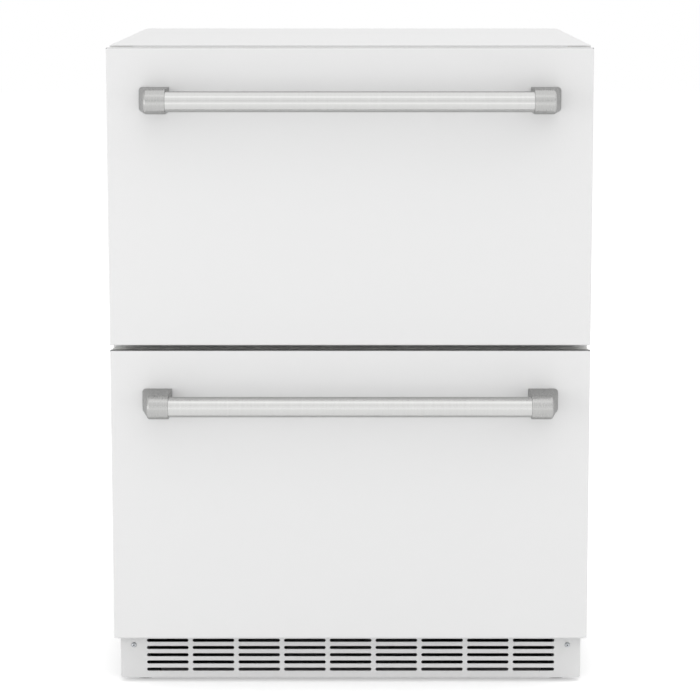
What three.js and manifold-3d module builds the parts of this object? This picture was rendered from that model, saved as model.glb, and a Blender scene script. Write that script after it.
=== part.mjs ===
// Undercounter refrigerator with two pull-out drawers, built as its separate pieces.
// Units are millimetres. +Z is up, the drawers pull out towards -Y, and the origin is on the floor
// in the middle of the overall width and depth.

import * as THREE from 'three';
import { mergeVertices } from 'three/addons/utils/BufferGeometryUtils.js';
import { ConvexGeometry } from 'three/addons/geometries/ConvexGeometry.js';
import Module from 'manifold-3d';

const wasm = await Module();
wasm.setup();

// ---------------------------------------------------------------- driving dimensions

// Fit between pieces that touch
const clearance = 0.3;

// Cabinet shell
const cabinetWidth = 595;
const cabinetHeight = 815;
const carcassDepth = 555;
const steelSheet = 1;
const frontFlange = 27.5;
const bottomFlange = 24.5;
const sidePanelBottom = 60;
const insulation = 34;
const humpInsulation = 30;
const linerWall = 2;
const linerLip = 10;
const mullionHeight = 47;
const mullionDepth = 45;
const mullionSheet = 1.2;

// Holes for fastening the top panel under a worktop
const topHoleRadius = 2.2;
const topHoleSetback = 38;
const topHoleFromSide = 38.5;
const topHolePitch = 15;

// Drawer fronts
const frontsBottom = 73.5;
const frontsTopReveal = 1.5;
const frontGap = 7.2;
const doorThickness = 40;
const gasketSpace = 6;
const skinSheet = 1;
const skinReturn = 3;
const skinEdgeRadius = 1.4;
const skinCornerRadius = 2;
const coreEdge = 8;
const innerPanelInset = 0.5;
const innerPanelWall = 2;
const plugDepth = 12;
const plugClearance = 8;
const plugToRunner = 2.5;
const gasketInset = 4;
const gasketWidth = 14;

// Handles
const handleSideGap = 39.5;
const handleStandoff = 59;
const handleDrop = 62.3;
const barRadius = 12.5;
const barWall = 1.5;
const barSeat = 15;
const barFrontWall = 1.5;
const bracketBaseWidth = 37;
const bracketTipWidth = 26.4;
const bracketRadius = 15.1;
const bracketDraft = 1.4;
const bracketBaseRound = 4.5;
const bracketTipRound = 3.5;

// Base pan, feet and kick plate
const baseHeight = 20;
const baseSheet = 1.2;
const baseSideFlange = 14;
const baseRearLip = 18;
const baseTabWidth = 32;
const kickSideInset = 2.5;
const kickSetback = 58;
const kickBottom = 5;
const kickHeight = 65;
const kickSheet = 1.2;
const kickReturn = 18;
const kickCornerRadius = 3;
const slotLength = 53.5;
const slotHeight = 4.4;
const slotPitchAcross = 58.7;
const slotPitchUp = 9.55;
const slotFirstRise = 11.1;
const slotSideMargin = 30;
const slotTopMargin = 13;
const kickScrewFromSide = 17;
const kickScrewRise = 43.5;
const kickScrewRadius = 2;
const kickScrewHeadRadius = 3.5;
const kickScrewHeadHeight = 2.2;
const kickScrewLength = 12;
const footDiscRadius = 20;
const footDiscHeight = 12;
const footNutRadius = 9.5;
const footStudRadius = 5;
const footStudTop = 56;
const footSideGap = 28.5;
const footFrontGap = 31.5;
const footRearGap = 38;

// Machine compartment at the bottom of the back
const machineDepth = 179;
const machineHeight = 190;
const coverRecess = 3;
const coverSlotWidth = 6;
const coverSlotHeight = 84;
const coverSlotPitch = 18;
const coverSlotSideMargin = 36;
const compressorSideGap = 132.5;
const compressorRearGap = 90;
const compressorRadius = 60;
const compressorHeight = 122;
const compressorSeam = 3;
const compressorSeamHeight = 4;
const compressorPlateLength = 150;
const compressorPlateWidth = 112;
const compressorPlateSheet = 2.5;
const grommetRadius = 9;
const grommetHeight = 12;
const terminalBoxLength = 46;
const terminalBoxHeight = 44;
const terminalBoxProud = 22;
const terminalBoxSunk = 12;
const stubBelowSeam = 14;
const stubSideways = 10;
const stubSunk = 8;
const stubBend = 10;
const condenserSideGap = 61.5;
const condenserThickness = 44;
const condenserLength = 150;
const condenserHeight = 152;
const condenserFinPitch = 14;
const condenserFinGap = 4;
const condenserFinDepth = 10;
const condenserPasses = 6;
const coilTubeRadius = 4;
const condenserFanSize = 150;
const condenserFanThickness = 36;
const condenserFanGap = 6;
const condenserFanBore = 68;
const fanMotorRadius = 24;
const fanStrutWidth = 8;
const fanHubDepth = 14;
const fanPinRadius = 2.5;
const fanTipClearance = 3;
const bladeThickness = 2.4;
const bladeWidth = 34;
const bladePitchDegrees = 32;
const trayLength = 150;
const trayWidth = 140;
const trayHeight = 18;
const trayWall = 2;
const glandSideGap = 107.5;
const glandRise = 42;
const glandNeckRadius = 6.5;
const glandFlangeRadius = 10;
const glandBoreRadius = 4;
const glandFlangeThickness = 2.3;

// Evaporator behind its cover on the back wall of the cold space
const coverSideGap = 24.9;
const coverHeight = 340;
const coverDepth = 42;
const coverWall = 2;
const coverRise = 76;
const ventSlotHeight = 6;
const ventSlotPitch = 14;
const ventSlotSideGap = 85;
const ventSlotRows = 3;
const ventMargin = 22;
const evaporatorSideGap = 65;
const evaporatorHeight = 120;
const evaporatorThickness = 28;
const evaporatorRise = 34;
const evaporatorFinPitch = 20;
const evaporatorFinGap = 5;
const evaporatorFinDepth = 9;
const evaporatorPasses = 5;
const evaporatorFanSize = 100;
const evaporatorFanThickness = 26;
const evaporatorFanBore = 44;
const evaporatorFanRise = 230;
const evaporatorMotorRadius = 15;
const evaporatorHubDepth = 8;
const evaporatorBladeWidth = 20;
const suctionLineCanGap = 33;
const suctionLineWallGap = 12;
const suctionLineEnd = 108;

// Controls and lamp under the ceiling of the cold space
const housingWidth = 220;
const housingDepth = 85;
const housingHeight = 30;
const housingSetback = 20;
const displayWidth = 56;
const displayHeight = 17;
const displayDepth = 2;
const buttonRadius = 6;
const buttonProud = 2;
const buttonLength = 8;
const buttonTravelRoom = 2;
const buttonFromMiddle = 50;
const buttonFit = 0.4;
const lensWidth = 140;
const lensDepth = 28;
const lensThickness = 6;
const lensSetback = 3;

// Three-member ball-bearing runners
const runnerHeight = 45.5;
const runnerThickness = 12.7;
const runnerSheet = 1.2;
const runnerRunningGap = 0.5;
const runnerLength = 440;
const runnerMiddleLength = 420;
const runnerMiddleSetback = 2;
const runnerSetback = 15;
const runnerMiddleWeb = 4;
const runnerInnerReach = 6;
const upperRunnerRise = 93;
const lowerRunnerRise = 185;
const binLedge = 9;
const frontTabWidth = 25;

// Bins
const binWall = 2.5;
const binCorner = 15;
const binSideGap = 0.5;
const binTabGap = 1;
const binRearGap = 10;
const binFloorGap = 6;
const binTopGap = 9;
const binRimWidth = 5;
const binRimHeight = 4;
const binHumpGap = 12;

// How finely round shapes are divided
const roundSegments = 24;
const cornerSegments = 4;

// ---------------------------------------------------------------- positions worked out from them

const half = cabinetWidth / 2;
const overallDepth = handleStandoff + doorThickness + gasketSpace + carcassDepth;
const backY = overallDepth / 2;
const carcassY = backY - carcassDepth;
const doorBackY = carcassY - gasketSpace;
const doorFaceY = doorBackY - doorThickness;

const panelInnerX = half - steelSheet - clearance;
const panelTop = cabinetHeight - steelSheet - clearance;
const flangeInnerX = half - frontFlange;
const topFlangeBottom = cabinetHeight - frontFlange;
const bottomFlangeTop = frontsBottom + bottomFlange;
const behindFlangeY = carcassY + steelSheet + clearance;

const foamBottom = frontsBottom + steelSheet + clearance;
const innerX = panelInnerX - insulation - clearance - linerWall;
const innerFloor = foamBottom + insulation + clearance + linerWall;
const innerCeiling = panelTop - insulation - clearance - linerWall;
const innerBackY = backY - steelSheet - clearance - insulation - clearance - linerWall;
const machineFrontY = backY - steelSheet - machineDepth;
const humpFaceY = machineFrontY - steelSheet - clearance - humpInsulation - clearance - linerWall;
const humpTop = machineHeight + steelSheet + clearance + humpInsulation + clearance + linerWall;

const frontHeight = (cabinetHeight - frontsTopReveal - frontsBottom - frontGap) / 2;
const lowerFront = { bottom: frontsBottom, top: frontsBottom + frontHeight };
const upperFront = { bottom: lowerFront.top + frontGap, top: lowerFront.top + frontGap + frontHeight };
const mullionBottom = lowerFront.top + frontGap / 2 - mullionHeight / 2;
const mullionTop = mullionBottom + mullionHeight;
const lowerRoom = { bottom: innerFloor, top: mullionBottom };
const upperRoom = { bottom: mullionTop, top: innerCeiling };

const kickHalf = half - kickSideInset;
const kickTop = kickBottom + kickHeight;
const kickFaceY = doorFaceY + kickSetback;
const panHalf = kickHalf - kickSheet - clearance;
const panFrontY = kickFaceY + kickSheet + clearance;
const coverBackY = backY - coverRecess;
const panBackY = coverBackY - steelSheet - clearance;
const panFloor = baseHeight + baseSheet;
const panSeat = panFloor + clearance;
const sideWallTop = frontsBottom - clearance;

const runnerOuterX = innerX - clearance;
const runnerInnerX = runnerOuterX - runnerThickness;
const runnerY = carcassY + runnerSetback;
const plugBackY = doorBackY + plugDepth;
const tabBackY = plugBackY + clearance + runnerSheet;
const plugHalf = runnerInnerX - plugToRunner;
const lowerRunnerZ = lowerRoom.bottom + lowerRunnerRise;
const upperRunnerZ = upperRoom.bottom + upperRunnerRise;
const middleHalfHeight = runnerHeight / 2 - runnerSheet - runnerRunningGap;
const innerHalfHeight = middleHalfHeight - runnerSheet - runnerRunningGap;

const evaporatorCoverBackY = innerBackY - clearance;
const evaporatorCoverFrontY = evaporatorCoverBackY - coverDepth;
const evaporatorCoverBottom = humpTop + coverRise;
const housingFrontY = carcassY + housingSetback;
const housingBottom = innerCeiling - clearance - housingHeight;
const compressorX = half - compressorSideGap;
const compressorY = backY - compressorRearGap;
const condenserX = condenserSideGap - half;
const condenserY = (machineFrontY + panBackY) / 2;
const glandX = glandSideGap - half;
const coverHalf = innerX - coverSideGap;
const suctionLineX = compressorX - compressorRadius - suctionLineCanGap;
const suctionLineY = innerBackY - suctionLineWallGap;
const suctionHoleRadius = coilTubeRadius + clearance;
const noseAxisY = doorFaceY - handleStandoff + bracketRadius;
const barAxisY = doorFaceY - handleStandoff + barFrontWall + clearance + barRadius;

// ---------------------------------------------------------------- materials

function finish(color, roughness, metalness) {
  return new THREE.MeshStandardMaterial({ color, roughness, metalness });
}

const whitePaint = () => finish(0xf0f0f0, 0.35, 0);
const brushedStainless = () => finish(0xc9cbcc, 0.3, 1);
const galvanised = () => finish(0xb4b8ba, 0.45, 1);
const zincPlated = () => finish(0xc4c8cb, 0.35, 1);
const blackSteel = () => finish(0x17181a, 0.5, 0);
const whitePlastic = () => finish(0xeeefee, 0.4, 0);
const darkEdge = () => finish(0x2c2d2f, 0.7, 0);
const insulationFoam = () => finish(0xe6ddbf, 0.9, 0);
const greyRubber = () => finish(0xb8b9ba, 0.7, 0);
const blackPlastic = () => finish(0x1d1e20, 0.5, 0);
const clearPlastic = () => finish(0xdfe6e8, 0.15, 0);
const aluminium = () => finish(0xc2c5c7, 0.4, 1);
const displayGlass = () => finish(0x0c1013, 0.1, 0);

// ---------------------------------------------------------------- solids

// A closed three.js geometry as a solid that can be joined and cut.
function solidOf(geometry) {
  const plain = geometry.clone();
  plain.deleteAttribute('normal');
  plain.deleteAttribute('uv');
  const merged = mergeVertices(plain, 1e-4);
  return new wasm.Manifold(new wasm.Mesh({
    numProp: 3,
    vertProperties: new Float32Array(merged.attributes.position.array),
    triVerts: new Uint32Array(merged.index.array),
  }));
}

function joined(solids) {
  return solids.reduce((sum, solid) => sum.add(solid));
}

function cutBy(solid, tools) {
  return tools.reduce((rest, tool) => rest.subtract(tool), solid);
}

function geometryOf(solid) {
  const mesh = solid.asOriginal().simplify(0.01).getMesh();
  const geometry = new THREE.BufferGeometry();
  geometry.setAttribute('position', new THREE.BufferAttribute(new Float32Array(mesh.vertProperties), 3));
  geometry.setIndex(new THREE.BufferAttribute(new Uint32Array(mesh.triVerts), 1));
  geometry.computeVertexNormals();
  return geometry;
}

function piece(name, solid, material) {
  const mesh = new THREE.Mesh(geometryOf(solid), material);
  mesh.name = name;
  return mesh;
}

// A block between two values on each axis, given in either order.
function block([x0, x1], [y0, y1], [z0, z1]) {
  const box = new THREE.BoxGeometry(Math.abs(x1 - x0), Math.abs(y1 - y0), Math.abs(z1 - z0));
  box.translate((x0 + x1) / 2, (y0 + y1) / 2, (z0 + z1) / 2);
  return solidOf(box);
}

const both = (reach) => [-reach, reach];
const span = (middle, length) => [middle - length / 2, middle + length / 2];

function roundedOutline([a0, a1], [b0, b1], radius) {
  const shape = new THREE.Shape();
  shape.absarc(a1 - radius, b1 - radius, radius, 0, Math.PI / 2);
  shape.absarc(a0 + radius, b1 - radius, radius, Math.PI / 2, Math.PI);
  shape.absarc(a0 + radius, b0 + radius, radius, Math.PI, Math.PI * 1.5);
  shape.absarc(a1 - radius, b0 + radius, radius, Math.PI * 1.5, Math.PI * 2);
  return shape;
}

function circleOutline(a, b, radius) {
  const shape = new THREE.Shape();
  shape.absarc(a, b, radius, 0, Math.PI * 2);
  return shape;
}

const alongX = new THREE.Matrix4().makeBasis(
  new THREE.Vector3(0, 1, 0), new THREE.Vector3(0, 0, 1), new THREE.Vector3(1, 0, 0));
const alongY = new THREE.Matrix4().makeBasis(
  new THREE.Vector3(1, 0, 0), new THREE.Vector3(0, 0, 1), new THREE.Vector3(0, -1, 0));

// Every arc of an outline is divided into twice its curveSegments.
const arcSegments = (pieces) => pieces / 2;

function extruded(shape, depth, pieces) {
  return new THREE.ExtrudeGeometry(shape, {
    depth, bevelEnabled: false, curveSegments: arcSegments(pieces),
  });
}

// An outline in (y, z) pushed along X, in (x, z) along Y, or in (x, y) along Z.
function pushedAlongX(shape, [x0, x1], segments = cornerSegments) {
  const low = Math.min(x0, x1);
  return solidOf(extruded(shape, Math.abs(x1 - x0), segments).applyMatrix4(alongX).translate(low, 0, 0));
}

function pushedAlongY(shape, [y0, y1], segments = cornerSegments) {
  const high = Math.max(y0, y1);
  return solidOf(extruded(shape, Math.abs(y1 - y0), segments).applyMatrix4(alongY).translate(0, high, 0));
}

function pushedAlongZ(shape, [z0, z1], segments = cornerSegments) {
  const low = Math.min(z0, z1);
  return solidOf(extruded(shape, Math.abs(z1 - z0), segments).translate(0, 0, low));
}

function rodX(radius, [y, z], xs, segments = roundSegments) {
  return pushedAlongX(circleOutline(y, z, radius), xs, segments);
}

function rodY(radius, [x, z], ys, segments = roundSegments) {
  return pushedAlongY(circleOutline(x, z, radius), ys, segments);
}

function rodZ(radius, [x, y], zs, segments = roundSegments) {
  return pushedAlongZ(circleOutline(x, y, radius), zs, segments);
}

// A round tube of solid section through straight runs joined by smooth bends.
function bentRod(points, radius, bend, sides = 8) {
  const path = new THREE.CurvePath();
  let start = points[0];
  for (let i = 1; i < points.length - 1; i += 1) {
    const corner = points[i];
    const before = corner.clone().add(start.clone().sub(corner).setLength(bend));
    const after = corner.clone().add(points[i + 1].clone().sub(corner).setLength(bend));
    path.add(new THREE.LineCurve3(start, before));
    path.add(new THREE.QuadraticBezierCurve3(before, corner, after));
    start = after;
  }
  path.add(new THREE.LineCurve3(start, points[points.length - 1]));
  const steps = Math.max(12, Math.ceil(path.getLength() / (2.5 * radius)));
  const section = circleOutline(0, 0, radius);
  return solidOf(new THREE.ExtrudeGeometry(section, {
    extrudePath: path, steps, curveSegments: arcSegments(sides),
  }));
}

// ---------------------------------------------------------------- outer panels

function sidePanel(name, side) {
  const web = block([side * (half - steelSheet), side * half], [carcassY, backY], [sidePanelBottom, panelTop]);
  const flange = block([side * flangeInnerX, side * half], [carcassY, carcassY + steelSheet],
    [sidePanelBottom, panelTop]);
  return piece(name, web.add(flange), whitePaint());
}

function topPanel() {
  const sheet = block(both(half), [carcassY, backY], [cabinetHeight - steelSheet, cabinetHeight]);
  const flange = block(both(flangeInnerX - clearance), [carcassY, carcassY + steelSheet],
    [topFlangeBottom, cabinetHeight]);
  const outer = half - topHoleFromSide;
  const holes = [-outer, topHolePitch - outer, outer - topHolePitch, outer].map((x) => rodZ(
    topHoleRadius, [x, carcassY + topHoleSetback], [panelTop, cabinetHeight + 1], 12));
  return piece('top_panel', cutBy(sheet.add(flange), holes), whitePaint());
}

function backPanel() {
  const bottom = machineHeight + steelSheet + clearance;
  const sheet = block(both(panelInnerX), [backY - steelSheet, backY], [bottom, panelTop]);
  return piece('back_panel', sheet, galvanised());
}

// The shell's floor steps up at the back to make room for the machine compartment.
function bottomPlate() {
  const rearY = backY - steelSheet - clearance;
  const flange = block(both(flangeInnerX - clearance), [carcassY, carcassY + steelSheet],
    [frontsBottom, bottomFlangeTop]);
  const lip = block(both(flangeInnerX - clearance), [carcassY, behindFlangeY + steelSheet],
    [frontsBottom, frontsBottom + steelSheet]);
  const floor = block(both(panelInnerX), [behindFlangeY, machineFrontY],
    [frontsBottom, frontsBottom + steelSheet]);
  const riser = block(both(panelInnerX), [machineFrontY - steelSheet, machineFrontY],
    [frontsBottom, machineHeight + steelSheet]);
  const ceiling = block(both(panelInnerX), [machineFrontY - steelSheet, rearY],
    [machineHeight, machineHeight + steelSheet]);
  const hole = suctionHole([machineHeight - 1, machineHeight + steelSheet + 1]);
  return piece('bottom_plate', joined([flange, lip, floor, riser, ceiling]).subtract(hole), galvanised());
}

function suctionHole(zs) {
  return rodZ(suctionHoleRadius, [suctionLineX, suctionLineY], zs, 12);
}

// The cold space as a solid, grown outwards by the given offset.
function coldSpace(offset, frontY) {
  const room = block(both(innerX + offset), [frontY, innerBackY + offset],
    [innerFloor - offset, innerCeiling + offset]);
  const hump = block(both(cabinetWidth), [humpFaceY + offset, backY], [0, humpTop - offset]);
  return room.subtract(hump);
}

function cabinetFoam() {
  const frontY = behindFlangeY + linerWall + clearance;
  const body = block(both(panelInnerX), [frontY, backY - steelSheet - clearance], [foamBottom, panelTop]);
  const machineRoom = block(both(cabinetWidth), [machineFrontY - steelSheet - clearance, backY],
    [0, machineHeight + steelSheet + clearance]);
  const room = coldSpace(linerWall + clearance, frontY - 1);
  const hole = suctionHole([machineHeight, humpTop]);
  return piece('cabinet_foam', cutBy(body, [machineRoom, room, hole]), insulationFoam());
}

function innerLiner() {
  const lipX = flangeInnerX + linerLip;
  const lip = block(both(lipX), [behindFlangeY, behindFlangeY + linerWall],
    [bottomFlangeTop - linerLip, topFlangeBottom + linerLip]);
  const shell = coldSpace(linerWall, behindFlangeY).add(lip);
  const hole = suctionHole([humpTop - linerWall - 1, humpTop + 1]);
  return piece('inner_liner', cutBy(shell, [coldSpace(0, carcassY - 1), hole]), whitePlastic());
}

// A channel across the opening that both drawers seal against.
function mullionRail() {
  const face = block(both(flangeInnerX - clearance), [carcassY, carcassY + steelSheet],
    [mullionBottom, mullionTop]);
  const reach = both(innerX - clearance);
  const depth = [carcassY, carcassY + mullionDepth];
  const upper = block(reach, depth, [mullionTop - mullionSheet, mullionTop]);
  const lower = block(reach, depth, [mullionBottom, mullionBottom + mullionSheet]);
  return piece('mullion_rail', joined([face, upper, lower]), whitePaint());
}

// ---------------------------------------------------------------- base

function footPlaces() {
  const x = panHalf - footSideGap;
  const front = panFrontY + footFrontGap;
  const back = panBackY - footRearGap;
  return { front_left: [-x, front], front_right: [x, front], rear_left: [-x, back], rear_right: [x, back] };
}

function basePan() {
  const depth = [panFrontY, panBackY];
  const solids = [block(both(panHalf), depth, [baseHeight, panFloor])];
  for (const side of [-1, 1]) {
    const wallX = [side * (panHalf - baseSheet), side * panHalf];
    const flangeX = [side * (panHalf - baseSideFlange), side * panHalf];
    const tabX = [side * (panHalf - baseTabWidth), side * panHalf];
    solids.push(block(wallX, depth, [baseHeight, sideWallTop]));
    solids.push(block(flangeX, depth, [sideWallTop - baseSheet, sideWallTop]));
    solids.push(block(tabX, [panFrontY, panFrontY + baseSheet], [baseHeight, kickTop - clearance]));
  }
  solids.push(block(both(panHalf), [panBackY - baseSheet, panBackY], [baseHeight, baseHeight + baseRearLip]));
  const studHoles = Object.values(footPlaces()).map((place) => rodZ(
    footStudRadius + clearance, place, [baseHeight - 1, panFloor + 1], 16));
  const screwHoles = kickScrewPlaces().map((place) => rodY(
    kickScrewRadius + clearance, place, [panFrontY - 1, panFrontY + baseSheet + 1], 12));
  return piece('base_pan', cutBy(joined(solids), [...studHoles, ...screwHoles]), blackSteel());
}

function foot(name, place) {
  const nutBottom = footDiscHeight;
  const disc = rodZ(footDiscRadius, place, [0, footDiscHeight], 28);
  const nut = rodZ(footNutRadius, place, [nutBottom, baseHeight - clearance], 6);
  const stud = rodZ(footStudRadius, place, [nutBottom, footStudTop], 16);
  return piece(name, joined([disc, nut, stud]), zincPlated());
}

function kickScrewPlaces() {
  const z = kickBottom + kickScrewRise;
  const x = kickHalf - kickScrewFromSide;
  return [[-x, z], [x, z]];
}

function slotOutline(x, z) {
  const radius = slotHeight / 2;
  const reach = slotLength / 2 - radius;
  const shape = new THREE.Shape();
  shape.absarc(x + reach, z, radius, -Math.PI / 2, Math.PI / 2);
  shape.absarc(x - reach, z, radius, Math.PI / 2, Math.PI * 1.5);
  return shape;
}

// A folded sheet with rows of air slots.
function kickPlate() {
  const face = pushedAlongY(roundedOutline(both(kickHalf), [kickBottom, kickTop], kickCornerRadius),
    [kickFaceY, kickFaceY + kickSheet]);
  const solids = [face];
  for (const side of [-1, 1]) {
    solids.push(block([side * (kickHalf - kickSheet), side * kickHalf], [kickFaceY, kickFaceY + kickReturn],
      [kickBottom + kickCornerRadius, kickTop - kickCornerRadius]));
  }
  const cuts = kickScrewPlaces().map((place) => rodY(
    kickScrewRadius + clearance, place, [kickFaceY - 1, kickFaceY + kickSheet + 1], 12));
  const columns = Math.floor((2 * (kickHalf - slotSideMargin) - slotLength) / slotPitchAcross) + 1;
  const rows = Math.floor((kickTop - slotTopMargin - kickBottom - slotFirstRise) / slotPitchUp) + 1;
  for (let column = 0; column < columns; column += 1) {
    for (let row = 0; row < rows; row += 1) {
      const x = (column - (columns - 1) / 2) * slotPitchAcross;
      const z = kickBottom + slotFirstRise + row * slotPitchUp;
      cuts.push(pushedAlongY(slotOutline(x, z), [kickFaceY - 1, kickFaceY + kickSheet + 1], 3));
    }
  }
  return piece('kick_plate', cutBy(joined(solids), cuts), whitePaint());
}

function kickScrew(name, place) {
  const seat = kickFaceY - clearance;
  const head = rodY(kickScrewHeadRadius, place, [seat - kickScrewHeadHeight, seat], 20);
  const shank = rodY(kickScrewRadius, place, [seat, seat + kickScrewLength], 12);
  return piece(name, head.add(shank), zincPlated());
}

// ---------------------------------------------------------------- machine compartment

function compressor() {
  const plateBottom = panSeat + grommetHeight;
  const canBottom = plateBottom + compressorPlateSheet;
  const top = canBottom + compressorHeight;
  const shoulder = compressorRadius * 0.45;
  const seamZ = canBottom + compressorHeight * 0.55;
  const profile = [new THREE.Vector2(0, 0)];
  for (let step = 0; step <= 4; step += 1) {
    const angle = (Math.PI / 8) * step;
    profile.push(new THREE.Vector2(compressorRadius - shoulder + shoulder * Math.sin(angle),
      shoulder - shoulder * Math.cos(angle)));
  }
  for (let step = 0; step <= 4; step += 1) {
    const angle = (Math.PI / 8) * step;
    profile.push(new THREE.Vector2(compressorRadius - shoulder + shoulder * Math.cos(angle),
      compressorHeight - shoulder + shoulder * Math.sin(angle)));
  }
  profile.push(new THREE.Vector2(0, compressorHeight));
  const can = new THREE.LatheGeometry(profile, roundSegments);
  can.rotateX(Math.PI / 2).translate(compressorX, compressorY, canBottom);
  const seam = rodZ(compressorRadius + compressorSeam, [compressorX, compressorY],
    span(seamZ, compressorSeamHeight));
  const plate = pushedAlongZ(roundedOutline(span(compressorX, compressorPlateLength),
    span(compressorY, compressorPlateWidth), grommetRadius), [plateBottom, canBottom + shoulder / 2]);
  const trimmed = plate.subtract(block(both(cabinetWidth), both(cabinetWidth),
    [plateBottom + compressorPlateSheet, top]));
  const solids = [solidOf(can), seam, trimmed];
  for (const sx of [-1, 1]) {
    for (const sy of [-1, 1]) {
      const x = compressorX + sx * (compressorPlateLength / 2 - grommetRadius);
      const y = compressorY + sy * (compressorPlateWidth / 2 - grommetRadius);
      solids.push(rodZ(grommetRadius, [x, y], [panSeat, plateBottom + 1], 12));
    }
  }
  const canSide = compressorX + compressorRadius;
  solids.push(block([canSide - terminalBoxSunk, canSide + terminalBoxProud],
    span(compressorY, terminalBoxLength), span(seamZ, terminalBoxHeight)));
  const stubZ = seamZ - stubBelowSeam;
  const stubStart = new THREE.Vector3(compressorX - compressorRadius + stubSunk,
    compressorY + stubSideways, stubZ);
  const elbow = new THREE.Vector3(suctionLineX, suctionLineY, stubZ);
  const stubEnd = new THREE.Vector3(suctionLineX, suctionLineY, suctionLineEnd - clearance);
  solids.push(bentRod([stubStart, elbow, stubEnd], coilTubeRadius, stubBend));
  return piece('compressor', joined(solids), blackSteel());
}

// Half-round bends that join neighbouring passes of a tube coil, at one end of its fin pack.
function returnBend(point, direction, pitch, radius) {
  const outward = direction.clone().setLength(pitch);
  const far = point.clone().add(new THREE.Vector3(0, 0, pitch));
  const path = new THREE.CubicBezierCurve3(point, point.clone().add(outward), far.clone().add(outward), far);
  const section = circleOutline(0, 0, radius);
  return solidOf(new THREE.ExtrudeGeometry(section, {
    extrudePath: path, steps: 6, curveSegments: arcSegments(8),
  }));
}

function condenserCoil() {
  const [x0, x1] = span(condenserX, condenserThickness);
  const [y0, y1] = span(condenserY, condenserLength - 6 * coilTubeRadius);
  const top = panSeat + condenserHeight;
  const cuts = [];
  for (let y = y0 + condenserFinPitch; y < y1 - condenserFinPitch; y += condenserFinPitch) {
    cuts.push(block([x0 - 1, x0 + condenserFinDepth], [y, y + condenserFinGap], [panSeat - 1, top + 1]));
    cuts.push(block([x1 - condenserFinDepth, x1 + 1], [y, y + condenserFinGap], [panSeat - 1, top + 1]));
  }
  const solids = [cutBy(block([x0, x1], [y0, y1], [panSeat, top]), cuts)];
  const pitch = condenserHeight / condenserPasses;
  for (let pass = 0; pass < condenserPasses - 1; pass += 1) {
    const end = pass % 2 ? y0 : y1;
    const outward = new THREE.Vector3(0, pass % 2 ? -1 : 1, 0);
    const point = new THREE.Vector3(condenserX, end - outward.y, panSeat + pitch * (pass + 0.5));
    solids.push(returnBend(point, outward, pitch, coilTubeRadius).intersect(
      block(both(cabinetWidth), [machineFrontY + 2, panBackY - baseSheet - 2], [panSeat, machineHeight])));
  }
  return piece('condenser_coil', joined(solids), blackSteel());
}

// Square fan frames turn about local Z here: motor on three struts, open towards +Z.
function fanFrameSolid(size, thickness, bore, motorRadius, hubDepth) {
  const frame = block(both(size / 2), both(size / 2), [0, thickness]);
  const open = frame.subtract(rodZ(bore, [0, 0], [-1, thickness + 1]));
  const motorDepth = thickness - hubDepth - clearance - fanTipClearance;
  const motor = rodZ(motorRadius, [0, 0], [0, motorDepth], 24);
  const solids = [open, motor];
  for (const angle of [90, 210, 330]) {
    const strut = new THREE.BoxGeometry(bore, fanStrutWidth, motorDepth / 2);
    strut.translate(bore / 2 + motorRadius / 2, 0, motorDepth / 4).rotateZ(THREE.MathUtils.degToRad(angle));
    solids.push(solidOf(strut));
  }
  const clip = block(both(size / 2), both(size / 2), [0, thickness]);
  return joined(solids).intersect(clip).subtract(
    rodZ(fanPinRadius + clearance, [0, 0], [motorDepth / 2, motorDepth + 1], 12));
}

function fanRotorSolid(thickness, bore, motorRadius, hubDepth, width, blades) {
  const motorDepth = thickness - hubDepth - clearance - fanTipClearance;
  const hubBottom = motorDepth + clearance;
  const hub = rodZ(motorRadius, [0, 0], [hubBottom, hubBottom + hubDepth], 24);
  const pin = rodZ(fanPinRadius, [0, 0], [motorDepth / 2 + clearance, hubBottom + 1], 12);
  const reach = bore - fanTipClearance;
  const solids = [hub, pin];
  for (let blade = 0; blade < blades; blade += 1) {
    const plate = new THREE.BoxGeometry(reach, width, bladeThickness, 4, 1, 1);
    plate.translate(reach / 2, 0, 0).rotateX(THREE.MathUtils.degToRad(bladePitchDegrees));
    plate.rotateZ((2 * Math.PI * blade) / blades).translate(0, 0, hubBottom + hubDepth / 2);
    solids.push(solidOf(plate));
  }
  const sweep = rodZ(reach, [0, 0], [motorDepth / 2, hubBottom + hubDepth], 48);
  const motorRoom = rodZ(reach + 1, [0, 0], [0, hubBottom], 48);
  const swept = joined(solids.filter((solid) => solid !== pin)).intersect(sweep).subtract(motorRoom);
  return swept.add(pin);
}

// Placing a fan whose axis lies along Z, with its outlet towards +Z.
const turnToX = new THREE.Matrix4().makeRotationY(Math.PI / 2);
const turnToFront = new THREE.Matrix4().makeRotationX(Math.PI / 2);

function placedPiece(name, solid, material, turn, place) {
  const mesh = piece(name, solid, material);
  mesh.geometry.applyMatrix4(turn);
  mesh.position.copy(place);
  return mesh;
}

function condenserFanPlace() {
  const x = condenserX + condenserThickness / 2 + condenserFanGap;
  return new THREE.Vector3(x, condenserY, panSeat + condenserFanSize / 2);
}

function condenserFanFrame() {
  const solid = fanFrameSolid(condenserFanSize, condenserFanThickness, condenserFanBore, fanMotorRadius,
    fanHubDepth);
  return placedPiece('condenser_fan_frame', solid, blackPlastic(), turnToX, condenserFanPlace());
}

function condenserFanRotor() {
  const solid = fanRotorSolid(condenserFanThickness, condenserFanBore, fanMotorRadius, fanHubDepth,
    bladeWidth, 5);
  return placedPiece('condenser_fan_rotor', solid, blackPlastic(), turnToX, condenserFanPlace());
}

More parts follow.
